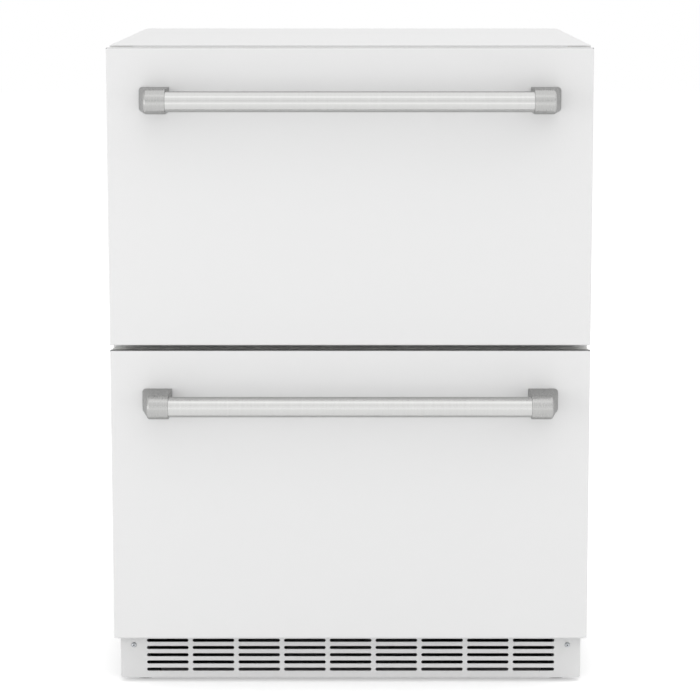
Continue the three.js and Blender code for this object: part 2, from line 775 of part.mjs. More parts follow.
// The tray that catches melt water sits on the warm can and dries there.
function dripTray() {
  const bottom = panSeat + grommetHeight + compressorPlateSheet + compressorHeight + clearance;
  const xs = span(compressorX, trayLength);
  const ys = span(compressorY, trayWidth);
  const outer = pushedAlongZ(roundedOutline(xs, ys, 12), [bottom, bottom + trayHeight]);
  const inner = pushedAlongZ(roundedOutline([xs[0] + trayWall, xs[1] - trayWall],
    [ys[0] + trayWall, ys[1] - trayWall], 10), [bottom + trayWall, bottom + trayHeight + 1]);
  return piece('drip_tray', outer.subtract(inner), blackPlastic());
}

function rearMachineCover() {
  const zs = [panFloor + clearance, machineHeight - clearance];
  const sheet = block(both(panHalf), [coverBackY - steelSheet, coverBackY], zs);
  const slotBottom = (zs[0] + zs[1]) / 2 - coverSlotHeight / 2 + glandFlangeRadius;
  const reach = panHalf - coverSlotSideMargin;
  const count = Math.floor((2 * reach) / coverSlotPitch) + 1;
  const cuts = [rodY(glandNeckRadius + clearance, [glandX, panFloor + glandRise],
    [coverBackY - steelSheet - 1, coverBackY + 1], 24)];
  for (let slot = 0; slot < count; slot += 1) {
    const x = (slot - (count - 1) / 2) * coverSlotPitch;
    const bottom = Math.abs(x - glandX) < glandFlangeRadius + coverSlotPitch
      ? Math.max(slotBottom, panFloor + glandRise + glandFlangeRadius + coverSlotWidth) : slotBottom;
    cuts.push(block(span(x, coverSlotWidth), [coverBackY - steelSheet - 1, coverBackY + 1],
      [bottom, slotBottom + coverSlotHeight]));
  }
  return piece('rear_machine_cover', cutBy(sheet, cuts), galvanised());
}

function powerCordGland() {
  const place = [glandX, panFloor + glandRise];
  const frontY = coverBackY - steelSheet - clearance;
  const outer = rodY(glandFlangeRadius, place, [coverBackY + clearance,
    coverBackY + clearance + glandFlangeThickness], 24);
  const neck = rodY(glandNeckRadius, place, [frontY - 1, coverBackY + clearance + 1], 24);
  const inner = rodY(glandFlangeRadius - 1.5, place, [frontY - glandFlangeThickness, frontY], 24);
  const bore = rodY(glandBoreRadius, place, [frontY - 10, backY + 10], 16);
  return piece('power_cord_gland', joined([outer, neck, inner]).subtract(bore), blackPlastic());
}

// ---------------------------------------------------------------- cold side

function evaporatorCover() {
  const xs = both(coverHalf);
  const zs = [evaporatorCoverBottom, evaporatorCoverBottom + coverHeight];
  const box = pushedAlongY(roundedOutline(xs, zs, 8), [evaporatorCoverFrontY, evaporatorCoverBackY]);
  const room = pushedAlongY(roundedOutline([xs[0] + coverWall, xs[1] - coverWall],
    [zs[0] + coverWall, zs[1] - coverWall], 6), [evaporatorCoverFrontY + coverWall, evaporatorCoverBackY + 1]);
  const fanZ = evaporatorCoverBottom + evaporatorFanRise;
  const through = [evaporatorCoverFrontY - 1, evaporatorCoverFrontY + coverWall + 1];
  const cuts = [room, rodY(evaporatorFanBore, [0, fanZ], through)];
  for (let row = 0; row < ventSlotRows; row += 1) {
    const rise = ventMargin + row * ventSlotPitch;
    cuts.push(block(both(coverHalf - ventSlotSideGap), through, span(zs[0] + rise, ventSlotHeight)));
    cuts.push(block(both(coverHalf - ventSlotSideGap), through, span(zs[1] - ventMargin, ventSlotHeight)));
  }
  const floorHole = suctionHole([zs[0] - 1, zs[0] + coverWall + 1]);
  const bars = [block(both(evaporatorFanBore + 2), [through[0] + 1, through[1] - 1], span(fanZ, 4)),
    block(span(0, 4), [through[0] + 1, through[1] - 1], span(fanZ, 2 * evaporatorFanBore + 4))];
  return piece('evaporator_cover', joined([cutBy(box, [...cuts, floorHole]), ...bars]), whitePlastic());
}

function evaporatorCoil() {
  const [x0, x1] = both(coverHalf - evaporatorSideGap);
  const bottom = evaporatorCoverBottom + evaporatorRise;
  const top = bottom + evaporatorHeight;
  const back = evaporatorCoverBackY;
  const front = back - evaporatorThickness;
  const cuts = [];
  for (let x = x0 + evaporatorFinPitch; x < x1 - evaporatorFinPitch; x += evaporatorFinPitch) {
    cuts.push(block([x, x + evaporatorFinGap], [front - 1, front + evaporatorFinDepth], [bottom - 1, top + 1]));
  }
  const solids = [cutBy(block([x0, x1], [front, back], [bottom, top]), cuts)];
  const pitch = evaporatorHeight / evaporatorPasses;
  for (let pass = 0; pass < evaporatorPasses - 1; pass += 1) {
    const end = pass % 2 ? x0 : x1;
    const outward = new THREE.Vector3(pass % 2 ? -1 : 1, 0, 0);
    const point = new THREE.Vector3(end - outward.x, (front + back) / 2, bottom + pitch * (pass + 0.5));
    solids.push(returnBend(point, outward, pitch, coilTubeRadius));
  }
  solids.push(rodZ(coilTubeRadius, [suctionLineX, suctionLineY], [suctionLineEnd, bottom + 1], 12));
  return piece('evaporator_coil', joined(solids), aluminium());
}

function evaporatorFanPlace() {
  const y = evaporatorCoverFrontY + coverWall + clearance + evaporatorFanThickness;
  return new THREE.Vector3(0, y, evaporatorCoverBottom + evaporatorFanRise);
}

function evaporatorFanFrame() {
  const solid = fanFrameSolid(evaporatorFanSize, evaporatorFanThickness, evaporatorFanBore,
    evaporatorMotorRadius, evaporatorHubDepth);
  return placedPiece('evaporator_fan_frame', solid, blackPlastic(), turnToFront, evaporatorFanPlace());
}

function evaporatorFanRotor() {
  const solid = fanRotorSolid(evaporatorFanThickness, evaporatorFanBore, evaporatorMotorRadius,
    evaporatorHubDepth, evaporatorBladeWidth, 5);
  return placedPiece('evaporator_fan_rotor', solid, blackPlastic(), turnToFront, evaporatorFanPlace());
}

const controlZ = housingBottom + housingHeight / 2;

function controlHousing() {
  const body = pushedAlongX(roundedOutline([housingFrontY, housingFrontY + housingDepth],
    [housingBottom, innerCeiling - clearance], 4), both(housingWidth / 2));
  const pocket = block(both(displayWidth / 2 + clearance), [housingFrontY - 1, housingFrontY + displayDepth],
    span(controlZ, displayHeight + 2 * clearance));
  const holes = [-1, 1].map((side) => rodY(buttonRadius + buttonFit, [side * buttonFromMiddle, controlZ],
    [housingFrontY - 1, housingFrontY - buttonProud + buttonLength + buttonTravelRoom], 24));
  return piece('control_housing', cutBy(body, [pocket, ...holes]), whitePlastic());
}

function controlDisplay() {
  const plate = block(both(displayWidth / 2), [housingFrontY, housingFrontY + displayDepth - clearance],
    span(controlZ, displayHeight));
  return piece('control_display', plate, displayGlass());
}

function controlButton(name, side) {
  const front = housingFrontY - buttonProud;
  const cap = rodY(buttonRadius, [side * buttonFromMiddle, controlZ], [front, front + buttonLength], 24);
  return piece(name, cap, blackPlastic());
}

function lampLens() {
  const front = housingFrontY + housingDepth + lensSetback;
  const lens = pushedAlongZ(roundedOutline(both(lensWidth / 2), [front, front + lensDepth], 6),
    [innerCeiling - clearance - lensThickness, innerCeiling - clearance]);
  return piece('lamp_lens', lens, clearPlastic());
}

// ---------------------------------------------------------------- runners

// Each member is a channel: a web with a flange at its top and bottom.
function channel(side, z, halfHeight, [webFrom, webTo], [flangeFrom, flangeTo], ys) {
  const at = (depth) => side * (runnerOuterX - depth);
  const web = block([at(webFrom), at(webTo)], ys, [z - halfHeight, z + halfHeight]);
  const upper = block([at(flangeFrom), at(flangeTo)], ys, [z + halfHeight - runnerSheet, z + halfHeight]);
  const lower = block([at(flangeFrom), at(flangeTo)], ys, [z - halfHeight, z - halfHeight + runnerSheet]);
  return joined([web, upper, lower]);
}

function runnerCabinetMember(name, side, z) {
  const solid = channel(side, z, runnerHeight / 2, [0, runnerSheet], [0, runnerThickness],
    [runnerY, runnerY + runnerLength]);
  return piece(name, solid, zincPlated());
}

function runnerMiddleMember(name, side, z) {
  const start = runnerY + runnerMiddleSetback;
  const solid = channel(side, z, middleHalfHeight, [runnerMiddleWeb, runnerMiddleWeb + runnerSheet],
    [runnerMiddleWeb, runnerThickness], [start, start + runnerMiddleLength]);
  return piece(name, solid, zincPlated());
}

// The drawer's own member has a ledge that carries the bin and a tab that holds the front.
function runnerDrawerMember(name, side, z) {
  const front = plugBackY + clearance;
  const ys = [front, front + runnerLength];
  const slide = channel(side, z, innerHalfHeight, [runnerThickness - runnerSheet, runnerThickness],
    [runnerInnerReach, runnerThickness], ys);
  const ledge = block([side * runnerInnerX, side * (runnerInnerX - binLedge)], ys,
    [z - innerHalfHeight, z - innerHalfHeight + runnerSheet]);
  const tab = block([side * (runnerInnerX + runnerSheet), side * (runnerInnerX - frontTabWidth)],
    [front, tabBackY], [z - innerHalfHeight, z + innerHalfHeight]);
  return piece(name, joined([slide, ledge, tab]), zincPlated());
}

// ---------------------------------------------------------------- drawer fronts

const frontSpan = (front, inset) => [front.bottom + inset, front.top - inset];

function frontSkin(name, front) {
  const inset = skinEdgeRadius;
  const outline = roundedOutline(both(half - inset), frontSpan(front, inset),
    Math.max(skinCornerRadius - inset, 0.5));
  const slab = new THREE.ExtrudeGeometry(outline, {
    depth: skinReturn,
    bevelThickness: skinEdgeRadius,
    bevelSize: skinEdgeRadius,
    bevelSegments: 3,
    curveSegments: arcSegments(cornerSegments),
  });
  slab.applyMatrix4(alongY).translate(0, doorFaceY + skinEdgeRadius + skinReturn, 0);
  const behind = block(both(cabinetWidth), [doorFaceY + skinReturn, doorBackY], [0, 2 * cabinetHeight]);
  const pocket = pushedAlongY(roundedOutline(both(half - skinSheet), frontSpan(front, skinSheet),
    skinCornerRadius - skinSheet), [doorFaceY + skinSheet, doorBackY]);
  return piece(name, cutBy(solidOf(slab), [behind, pocket]), whitePaint());
}

function plugSpan(room, inset) {
  return [room.bottom + plugClearance + inset, room.top - plugClearance - inset];
}

function doorCore(name, front, room) {
  const inset = innerPanelInset + innerPanelWall + clearance;
  const slab = block(both(half - inset), [doorFaceY + skinSheet + clearance,
    doorBackY - innerPanelWall - clearance], frontSpan(front, inset));
  const edgeY = doorFaceY + skinReturn;
  const edge = pushedAlongY(roundedOutline(both(half), frontSpan(front, 0), skinCornerRadius),
    [edgeY + clearance, edgeY + coreEdge - clearance]);
  const plugInset = innerPanelWall + clearance;
  const plug = block(both(plugHalf - plugInset), [doorBackY - innerPanelWall - 1,
    plugBackY - innerPanelWall - clearance], plugSpan(room, plugInset));
  return piece(name, joined([slab, edge, plug]), darkEdge());
}

function innerPanel(name, front, room) {
  const startY = doorFaceY + skinReturn + coreEdge;
  const inset = innerPanelInset;
  const deep = inset + innerPanelWall;
  const pan = pushedAlongY(roundedOutline(both(half - inset), frontSpan(front, inset), skinCornerRadius),
    [startY, doorBackY]);
  const plug = pushedAlongY(roundedOutline(both(plugHalf), plugSpan(room, 0), 10), [doorBackY - 1, plugBackY]);
  const hollow = block(both(half - deep), [startY - 1, doorBackY - innerPanelWall], frontSpan(front, deep));
  const plugHollow = block(both(plugHalf - innerPanelWall), [doorBackY - innerPanelWall - 1,
    plugBackY - innerPanelWall], plugSpan(room, innerPanelWall));
  return piece(name, cutBy(pan.add(plug), [hollow, plugHollow]), whitePlastic());
}

function doorGasket(name, front) {
  const ys = [doorBackY + clearance, carcassY - clearance];
  const outer = block(both(half - gasketInset), ys, frontSpan(front, gasketInset));
  const inner = block(both(half - gasketInset - gasketWidth), [ys[0] - 1, ys[1] + 1],
    frontSpan(front, gasketInset + gasketWidth));
  return piece(name, outer.subtract(inner), greyRubber());
}

const handleHalf = half - handleSideGap;
const bracketInnerX = handleHalf - bracketBaseWidth;

function handleBar(name, front) {
  const place = [barAxisY, front.top - handleDrop];
  const reach = bracketInnerX + barSeat - clearance;
  const bar = rodX(barRadius, place, both(reach), 40);
  const bore = rodX(barRadius - barWall, place, both(reach + 1), 24);
  return piece(name, bar.subtract(bore), brushedStainless());
}

// Cast standoff: a wide foot on the front that tapers to a half-round nose round the bar's end.
function handleBracket(name, front, side) {
  const z = front.top - handleDrop;
  const footY = doorFaceY - clearance;
  const footX = handleHalf;
  const noseX = bracketInnerX + bracketDraft;
  const tipX = noseX + bracketTipWidth;
  const points = [];
  for (const up of [-1, 1]) {
    points.push(new THREE.Vector3(side * bracketInnerX, footY, z + up * bracketRadius));
    for (let step = 0; step <= cornerSegments; step += 1) {
      const angle = (Math.PI / 2 / cornerSegments) * step;
      points.push(new THREE.Vector3(side * (footX - bracketBaseRound * (1 - Math.sin(angle))), footY,
        z + up * (bracketRadius - bracketBaseRound * (1 - Math.cos(angle)))));
    }
  }
  const noseSteps = 12;
  for (let step = 0; step <= noseSteps; step += 1) {
    const angle = -Math.PI / 2 + (Math.PI / noseSteps) * step;
    for (const [x, radius] of [[noseX, bracketRadius], [tipX - bracketTipRound, bracketRadius],
      [tipX - 0.3 * bracketTipRound, bracketRadius - 0.3 * bracketTipRound],
      [tipX, bracketRadius - bracketTipRound]]) {
      points.push(new THREE.Vector3(side * x, noseAxisY - radius * Math.cos(angle), z + radius * Math.sin(angle)));
    }
  }
  const seat = rodX(barRadius + clearance, [barAxisY, z],
    [side * (bracketInnerX - 1), side * (bracketInnerX + barSeat)], 40);
  return piece(name, solidOf(new ConvexGeometry(points)).subtract(seat), brushedStainless());
}

// ---------------------------------------------------------------- bins

const binWideX = runnerInnerX - binSideGap;
const binNarrowX = runnerInnerX - binLedge - binSideGap;
const binFrontY = tabBackY + binTabGap;
const binBackY = evaporatorCoverFrontY - binRearGap;

// A bin hangs by its shoulders on the ledges of its two runners.
function drawerBin(name, runnerZ, bottom, top, deepBackY, shallowBottom) {
  const shoulder = runnerZ - innerHalfHeight + runnerSheet + clearance;
  const tub = (inset, [z0, z1], halfWidth, rearY) => pushedAlongZ(roundedOutline(both(halfWidth - inset),
    [binFrontY + inset, rearY - inset], binCorner - inset), [z0, z1]);
  const outer = [tub(0, [bottom, shoulder + 1], binNarrowX, deepBackY),
    tub(0, [shoulder, top], binWideX, binBackY),
    tub(-binRimWidth, [top - binRimHeight, top], binWideX, binBackY).intersect(
      block(both(cabinetWidth), [binFrontY, binBackY + binRimWidth], [0, cabinetHeight]))];
  const inner = [tub(binWall, [bottom + binWall, shoulder + binWall + 1], binNarrowX, deepBackY),
    tub(binWall, [shoulder + binWall, top + 1], binWideX, binBackY)];
  if (shallowBottom !== undefined) {
    outer.push(tub(0, [shallowBottom, shoulder + 1], binNarrowX, binBackY));
    inner.push(tub(binWall, [shallowBottom + binWall, shoulder + binWall + 1], binNarrowX, binBackY));
  }
  return piece(name, cutBy(joined(outer), [joined(inner)]), clearPlastic());
}

function upperBin() {
  return drawerBin('upper_bin', upperRunnerZ, upperRoom.bottom + binFloorGap, housingBottom - binTopGap,
    binBackY);
}

function lowerBin() {
  return drawerBin('lower_bin', lowerRunnerZ, lowerRoom.bottom + binFloorGap,
    lowerRoom.top - binTopGap - binFloorGap, humpFaceY - binHumpGap, humpTop + binHumpGap);
}

// ---------------------------------------------------------------- assembly

function cabinetGroup() {
  const group = new THREE.Group();
  group.add(sidePanel('left_side_panel', -1), sidePanel('right_side_panel', 1), topPanel(), backPanel());
  group.add(bottomPlate(), cabinetFoam(), innerLiner(), mullionRail());
  group.add(basePan(), kickPlate());
  const [leftScrew, rightScrew] = kickScrewPlaces();
  group.add(kickScrew('kick_screw_left', leftScrew), kickScrew('kick_screw_right', rightScrew));
  for (const [corner, place] of Object.entries(footPlaces())) {
    group.add(foot(`foot_${corner}`, place));
  }
  return group;
}

function machineGroup() {
  const group = new THREE.Group();
  group.add(compressor(), condenserCoil(), condenserFanFrame(), condenserFanRotor(), dripTray());
  group.add(rearMachineCover(), powerCordGland());
  return group;
}

function coldSideGroup() {
  const group = new THREE.Group();
  group.add(evaporatorCover(), evaporatorCoil(), evaporatorFanFrame(), evaporatorFanRotor());
  group.add(controlHousing(), controlDisplay(), lampLens());
  group.add(controlButton('button_warmer', -1), controlButton('button_colder', 1));
  return group;
}

function drawerGroup(prefix, front, room, runnerZ, bin) {
  const group = new THREE.Group();
  group.add(frontSkin(`${prefix}_front_skin`, front), doorCore(`${prefix}_door_core`, front, room));
  group.add(innerPanel(`${prefix}_inner_panel`, front, room), doorGasket(`${prefix}_gasket`, front));
  group.add(handleBar(`${prefix}_handle_bar`, front), bin);
  for (const [label, side] of [['left', -1], ['right', 1]]) {
    group.add(handleBracket(`${prefix}_handle_bracket_${label}`, front, side));
    group.add(runnerCabinetMember(`${prefix}_runner_${label}_cabinet_member`, side, runnerZ));
    group.add(runnerMiddleMember(`${prefix}_runner_${label}_middle_member`, side, runnerZ));
    group.add(runnerDrawerMember(`${prefix}_runner_${label}_drawer_member`, side, runnerZ));
  }
  return group;
}

const refrigerator = new THREE.Group();
refrigerator.add(cabinetGroup(), machineGroup(), coldSideGroup());
refrigerator.add(drawerGroup('upper', upperFront, upperRoom, upperRunnerZ, upperBin()));
refrigerator.add(drawerGroup('lower', lowerFront, lowerRoom, lowerRunnerZ, lowerBin()));

export default refrigerator;
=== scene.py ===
import math
import bmesh
import bpy
from mathutils import Matrix, Vector


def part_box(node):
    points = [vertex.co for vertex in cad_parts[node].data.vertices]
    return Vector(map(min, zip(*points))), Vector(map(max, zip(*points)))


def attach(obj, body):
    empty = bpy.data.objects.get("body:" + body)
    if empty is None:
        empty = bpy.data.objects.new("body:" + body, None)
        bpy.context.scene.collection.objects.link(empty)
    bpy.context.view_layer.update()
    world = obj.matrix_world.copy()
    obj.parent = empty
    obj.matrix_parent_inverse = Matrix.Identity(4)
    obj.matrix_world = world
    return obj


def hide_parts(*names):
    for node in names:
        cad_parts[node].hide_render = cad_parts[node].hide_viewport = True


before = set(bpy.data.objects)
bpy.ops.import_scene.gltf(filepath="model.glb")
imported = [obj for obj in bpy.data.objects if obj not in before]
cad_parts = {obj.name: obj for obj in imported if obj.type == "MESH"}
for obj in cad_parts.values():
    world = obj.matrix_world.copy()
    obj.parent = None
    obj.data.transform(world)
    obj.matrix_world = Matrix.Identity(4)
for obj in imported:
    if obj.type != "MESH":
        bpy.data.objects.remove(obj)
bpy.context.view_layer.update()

scene = bpy.context.scene

# ---------------------------------------------------------------- camera
# A long lens, square to the fronts, a little above the cabinet's top and tilted down. The photograph was
# taken from nearer with a larger shift, which the other views wouldn't leave room for.
camera = bpy.data.objects.new("camera", bpy.data.cameras.new("camera"))
camera.location = (0.0154, -3.4056, 0.954)
camera.rotation_euler = (math.radians(90 - 8.353), 0, 0)
camera.data.lens = 131.85
camera.data.shift_x = -0.018
camera.data.shift_y = -0.06
camera.data.clip_end = 50
scene.collection.objects.link(camera)
scene.camera = camera
scene.view_settings.view_transform = "Standard"

# ---------------------------------------------------------------- floor and studio light
# A matt white studio floor under large, dim soft boxes: one overhead, a wide one high in front, a low
# one that lifts the fronts from beneath the bars, one to each side, and two for the flank and the back.
room_fill, floor_lift = 0.63, 0.46


def linear(code):
    """An sRGB hex colour as linear values."""
    parts = [int(code[at:at + 2], 16) / 255 for at in (1, 3, 5)]
    return [p / 12.92 if p <= 0.04045 else ((p + 0.055) / 1.055) ** 2.4 for p in parts] + [1]


def add_node(tree, kind, inputs=None, **settings):
    """Adds one node. Each input is a plain value or the socket that feeds it."""
    made = tree.nodes.new(kind)
    for name, value in settings.items():
        setattr(made, name, value)
    for name, value in (inputs or {}).items():
        if isinstance(value, bpy.types.NodeSocket):
            tree.links.new(value, made.inputs[name])
        else:
            made.inputs[name].default_value = value
    return made


def seen_directly(tree):
    """1 for what the eye, a reflection or a clear piece shows, 0 for light that falls on the object."""
    path = add_node(tree, "ShaderNodeLightPath").outputs
    shown = add_node(tree, "ShaderNodeMath", {0: path["Is Camera Ray"], 1: path["Is Glossy Ray"]},
                     operation="MAXIMUM")
    return add_node(tree, "ShaderNodeMath", {0: shown.outputs[0], 1: path["Is Transmission Ray"]},
                    operation="MAXIMUM").outputs[0]


world = bpy.data.worlds.new("white_room")
world.use_nodes = True
room = world.node_tree
room.nodes.clear()
fill = add_node(room, "ShaderNodeMix", {0: seen_directly(room), 2: room_fill, 3: 1.0})
glow = add_node(room, "ShaderNodeBackground", {"Color": (1, 1, 1, 1), "Strength": fill.outputs[0]})
add_node(room, "ShaderNodeOutputWorld", {"Surface": glow.outputs[0]})
scene.world = world

matt_floor = bpy.data.materials.new("matt_white_studio_floor")
matt_floor.use_nodes = True
tree = matt_floor.node_tree
tree.nodes.clear()
paint = add_node(tree, "ShaderNodeBsdfDiffuse", {"Color": linear("#F2F2F2")})
# The lift to white stops under the cabinet, so that the floor there stays as dark as it really is. It
# fades in from the near to the far distance given across and along, measured from the cabinet's middle.
shade_middle, shade_across, shade_along = (0, -0.061, 0), (0.255, 0.29), (0.232, 0.265)
spot = add_node(tree, "ShaderNodeMapping", {
    "Vector": add_node(tree, "ShaderNodeTexCoord").outputs["Object"], "Location": shade_middle})
away = add_node(tree, "ShaderNodeSeparateXYZ", {0: add_node(
    tree, "ShaderNodeVectorMath", {0: spot.outputs[0]}, operation="ABSOLUTE").outputs[0]})
across, along = [add_node(tree, "ShaderNodeMapRange", {0: away.outputs[at], 1: near, 2: far, 3: 0, 4: 1})
                 for at, (near, far) in enumerate((shade_across, shade_along))]
outside = add_node(tree, "ShaderNodeMath", {0: across.outputs[0], 1: along.outputs[0]},
                   operation="MAXIMUM")
shown = add_node(tree, "ShaderNodeMath", {0: outside.outputs[0], 1: seen_directly(tree)},
                 operation="MULTIPLY")
lift = add_node(tree, "ShaderNodeMath", {0: shown.outputs[0], 1: floor_lift}, operation="MULTIPLY")
glow = add_node(tree, "ShaderNodeEmission", {"Color": (1, 1, 1, 1), "Strength": lift.outputs[0]})
both = add_node(tree, "ShaderNodeAddShader", {0: paint.outputs[0], 1: glow.outputs[0]})
add_node(tree, "ShaderNodeOutputMaterial", {"Surface": both.outputs[0]})
shape = bmesh.new()
bmesh.ops.create_grid(shape, x_segments=1, y_segments=1, size=12)
sheet = bpy.data.meshes.new("studio_floor")
shape.to_mesh(sheet)
shape.free()
sheet.materials.append(matt_floor)
floor = bpy.data.objects.new("studio_floor", sheet)
scene.collection.objects.link(floor)

for name, width, height, watts, place, target in (
        ("overhead_box", 4.5, 4.5, 24, (1.0, -0.2, 3.0), (0, -0.2, 0)),
        ("front_box", 6.0, 2.6, 15, (-0.6, -2.3, 2.7), (0, -0.3, 0.6)),
        ("low_box", 6.0, 1.0, 7.5, (-0.5, -2.0, 0.52), (-0.4, -0.3, 0.5)),
        ("left_front_box", 1.6, 2.0, 12, (-2.6, -2.4, 0.75), (0, -0.3, 0.5)),
        ("right_front_box", 1.6, 2.0, 3, (2.6, -2.4, 0.75), (0, -0.3, 0.5)),
        ("right_box", 2.6, 2.2, 5, (3.2, 0.3, 1.2), (0, 0, 0.4)),
        ("rear_box", 3.2, 2.4, 8, (-2.4, 2.6, 1.4), (0, 0, 0.4))):
    light = bpy.data.lights.new(name, "AREA")
    light.shape = "RECTANGLE"
    light.size, light.size_y, light.energy = width, height, watts
    holder = bpy.data.objects.new(name, light)
    holder.location = place
    holder.rotation_euler = (Vector(target) - Vector(place)).to_track_quat("-Z", "Y").to_euler()
    holder.visible_camera = False
    scene.collection.objects.link(holder)

# ---------------------------------------------------------------- outer cabinet
# Cold-rolled steel sheet, powder coated white: two side panels, the top with its two pairs of
# fastening holes, and the rail between the openings.


def make_material(name, colour, roughness, grain, depth, low, high, stretch=(1, 1, 1), tones=None,
                  cells=None, **values):
    """A surface uneven at one grain size: a bump of that depth, and roughness that wanders from low to
    high. The colour may wander between two close tones, with the grain or from cell to cell."""
    material = bpy.data.materials.new(name)
    material.use_nodes = True
    tree = material.node_tree
    shader = tree.nodes["Principled BSDF"]
    for socket, value in {"Base_Color": linear(colour), "Roughness": roughness, **values}.items():
        shader.inputs[socket.replace("_", " ")].default_value = value
    place = add_node(tree, "ShaderNodeTexCoord").outputs["Object"]
    along = add_node(tree, "ShaderNodeMapping", {"Vector": place, "Scale": stretch})
    noise = add_node(tree, "ShaderNodeTexNoise", {"Vector": along.outputs[0], "Scale": 1 / grain,
                                                  "Detail": 3.0, "Roughness": 0.55})
    bump = add_node(tree, "ShaderNodeBump", {"Height": noise.outputs[0], "Distance": depth,
                                             "Strength": 1.0})
    rough = add_node(tree, "ShaderNodeMapRange", {0: noise.outputs[0], 1: 0.3, 2: 0.7, 3: low, 4: high})
    tree.links.new(bump.outputs[0], shader.inputs["Normal"])
    tree.links.new(rough.outputs[0], shader.inputs["Roughness"])
    factor = noise.outputs[0]
    if cells:
        cell = add_node(tree, "ShaderNodeTexVoronoi", {"Vector": place, "Scale": 1 / cells})
        factor = add_node(tree, "ShaderNodeSeparateColor", {0: cell.outputs["Color"]}).outputs[0]
    if tones:
        tone = add_node(tree, "ShaderNodeMix", {0: factor, 6: linear(tones[0]), 7: linear(tones[1])},
                        data_type="RGBA")
        tree.links.new(tone.outputs[2], shader.inputs["Base Color"])
    return material


def soften(node, radius, material):
    """Gives a solid from the frame its finish, and breaks its edges as a folded or moulded part's are."""
    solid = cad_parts[node]
    solid.data.materials.clear()
    solid.data.materials.append(material)
    if radius:
        solid.modifiers.new("joined_faces", "WELD").merge_threshold = 1e-5
        flat = solid.modifiers.new("flat_faces", "DECIMATE")
        flat.decimate_type = "DISSOLVE"
        flat.angle_limit = math.radians(1)
        edge = solid.modifiers.new("broken_edges", "BEVEL")
        edge.width, edge.segments, edge.limit_method = radius, 2, "ANGLE"
        edge.angle_limit = math.radians(50)
        edge.harden_normals = False
        solid.modifiers.new("even_shading", "WEIGHTED_NORMAL").keep_sharp = True


# Powder coat: satin white, with the faint orange peel that the melted powder leaves, about 2 mm across.
powder_coat = make_material("powder_coated_steel", "#EDEDED", 0.4, 0.0020, 0.000025, 0.36, 0.46,
                            IOR=1.5)

for node in ("left_side_panel", "right_side_panel", "top_panel"):
    soften(node, 0.00045, powder_coat)
soften("mullion_rail", 0.0004, powder_coat)

# ---------------------------------------------------------------- back and floor sheets
# Hot-dip galvanised steel, left bare: the back panel, the stepped floor plate and the slotted cover
# over the machine compartment. Pan-head screws hold the panel and the cover. The zinc freezes in small
# spangles, about 7 mm wide.
galvanised = make_material("hot_dip_galvanised_steel", "#B4B8BB", 0.45, 0.006, 0.000004, 0.34, 0.52,
                           tones=("#AFB3B6", "#BABEC1"), cells=0.007, Metallic=1.0)
soften("bottom_plate", 0.0004, galvanised)
soften("rear_machine_cover", 0, galvanised)


def finish_piece(shape, name, body, material, nodes=(), sharp=40):
    """Makes a mesh piece of the shape: smooth over its rounded parts, flat on its flats, on its body."""
    made = bpy.data.meshes.new(name)
    shape.to_mesh(made)
    shape.free()
    made.shade_smooth()
    made.set_sharp_from_angle(angle=math.radians(sharp))
    for each in material if isinstance(material, (list, tuple)) else [material]:
        made.materials.append(each)
    piece = bpy.data.objects.new(name, made)
    scene.collection.objects.link(piece)
    piece.modifiers.new("even_shading", "WEIGHTED_NORMAL").keep_sharp = True
    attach(piece, body)
    if nodes:
        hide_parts(*nodes)
    return piece


def add_block(shape, low, high):
    """A plain block between two corners, as the start of a sheet or a moulding."""
    low, high = Vector(low), Vector(high)
    size = Matrix.Diagonal((*(high - low), 1))
    middle = Matrix.Translation((low + high) / 2)
    return bmesh.ops.create_cube(shape, size=1, matrix=middle @ size)["verts"]


def edges_at(shape, axis, value, also=None):
    """The edges that lie in the plane where that axis has that value."""
    return [e for e in shape.edges if all(abs(v.co[axis] - value) < 1e-5 for v in e.verts)
            and (also is None or also(e))]


def edges_along(shape, axis, also=None):
    """The edges that run along an axis."""
    return [e for e in shape.edges
            if abs((e.verts[0].co - e.verts[1].co).normalized()[axis]) > 0.9999
            and (also is None or also(e))]


def faces_towards(shape, axis, sign):
    """The flat faces that look one way along an axis."""
    return [f for f in shape.faces if f.normal[axis] * sign > 0.999]


def round_edges(shape, edges, radius, segments=4):
    """Rounds edges to a radius."""
    bmesh.ops.bevel(shape, geom=edges, offset=radius, segments=segments, profile=0.5,
                    affect="EDGES", material=-1)


def cut_across(shape, axis, at):
    """New edges round the shape, where a plane crosses it at that place along the axis."""
    place, normal = Vector(), Vector()
    place[axis], normal[axis] = at, 1
    bmesh.ops.bisect_plane(shape, geom=shape.verts[:] + shape.edges[:] + shape.faces[:], dist=1e-6,
                           plane_co=place, plane_no=normal)


def verts_of(grown):
    """The vertices among what a mesh operator gives back."""
    return [v for v in grown if isinstance(v, bmesh.types.BMVert)]


# Zinc plate: bright and slightly blue over a fine, even etch.
zinc_plate = make_material("zinc_plated_steel", "#C6C9CC", 0.32, 0.0008, 0.000004, 0.26, 0.4,
                           Metallic=1.0)


def paint_faces(verts, index):
    """Gives the faces round some vertices one of the piece's materials."""
    for face in {f for v in verts for f in v.link_faces}:
        face.material_index = index


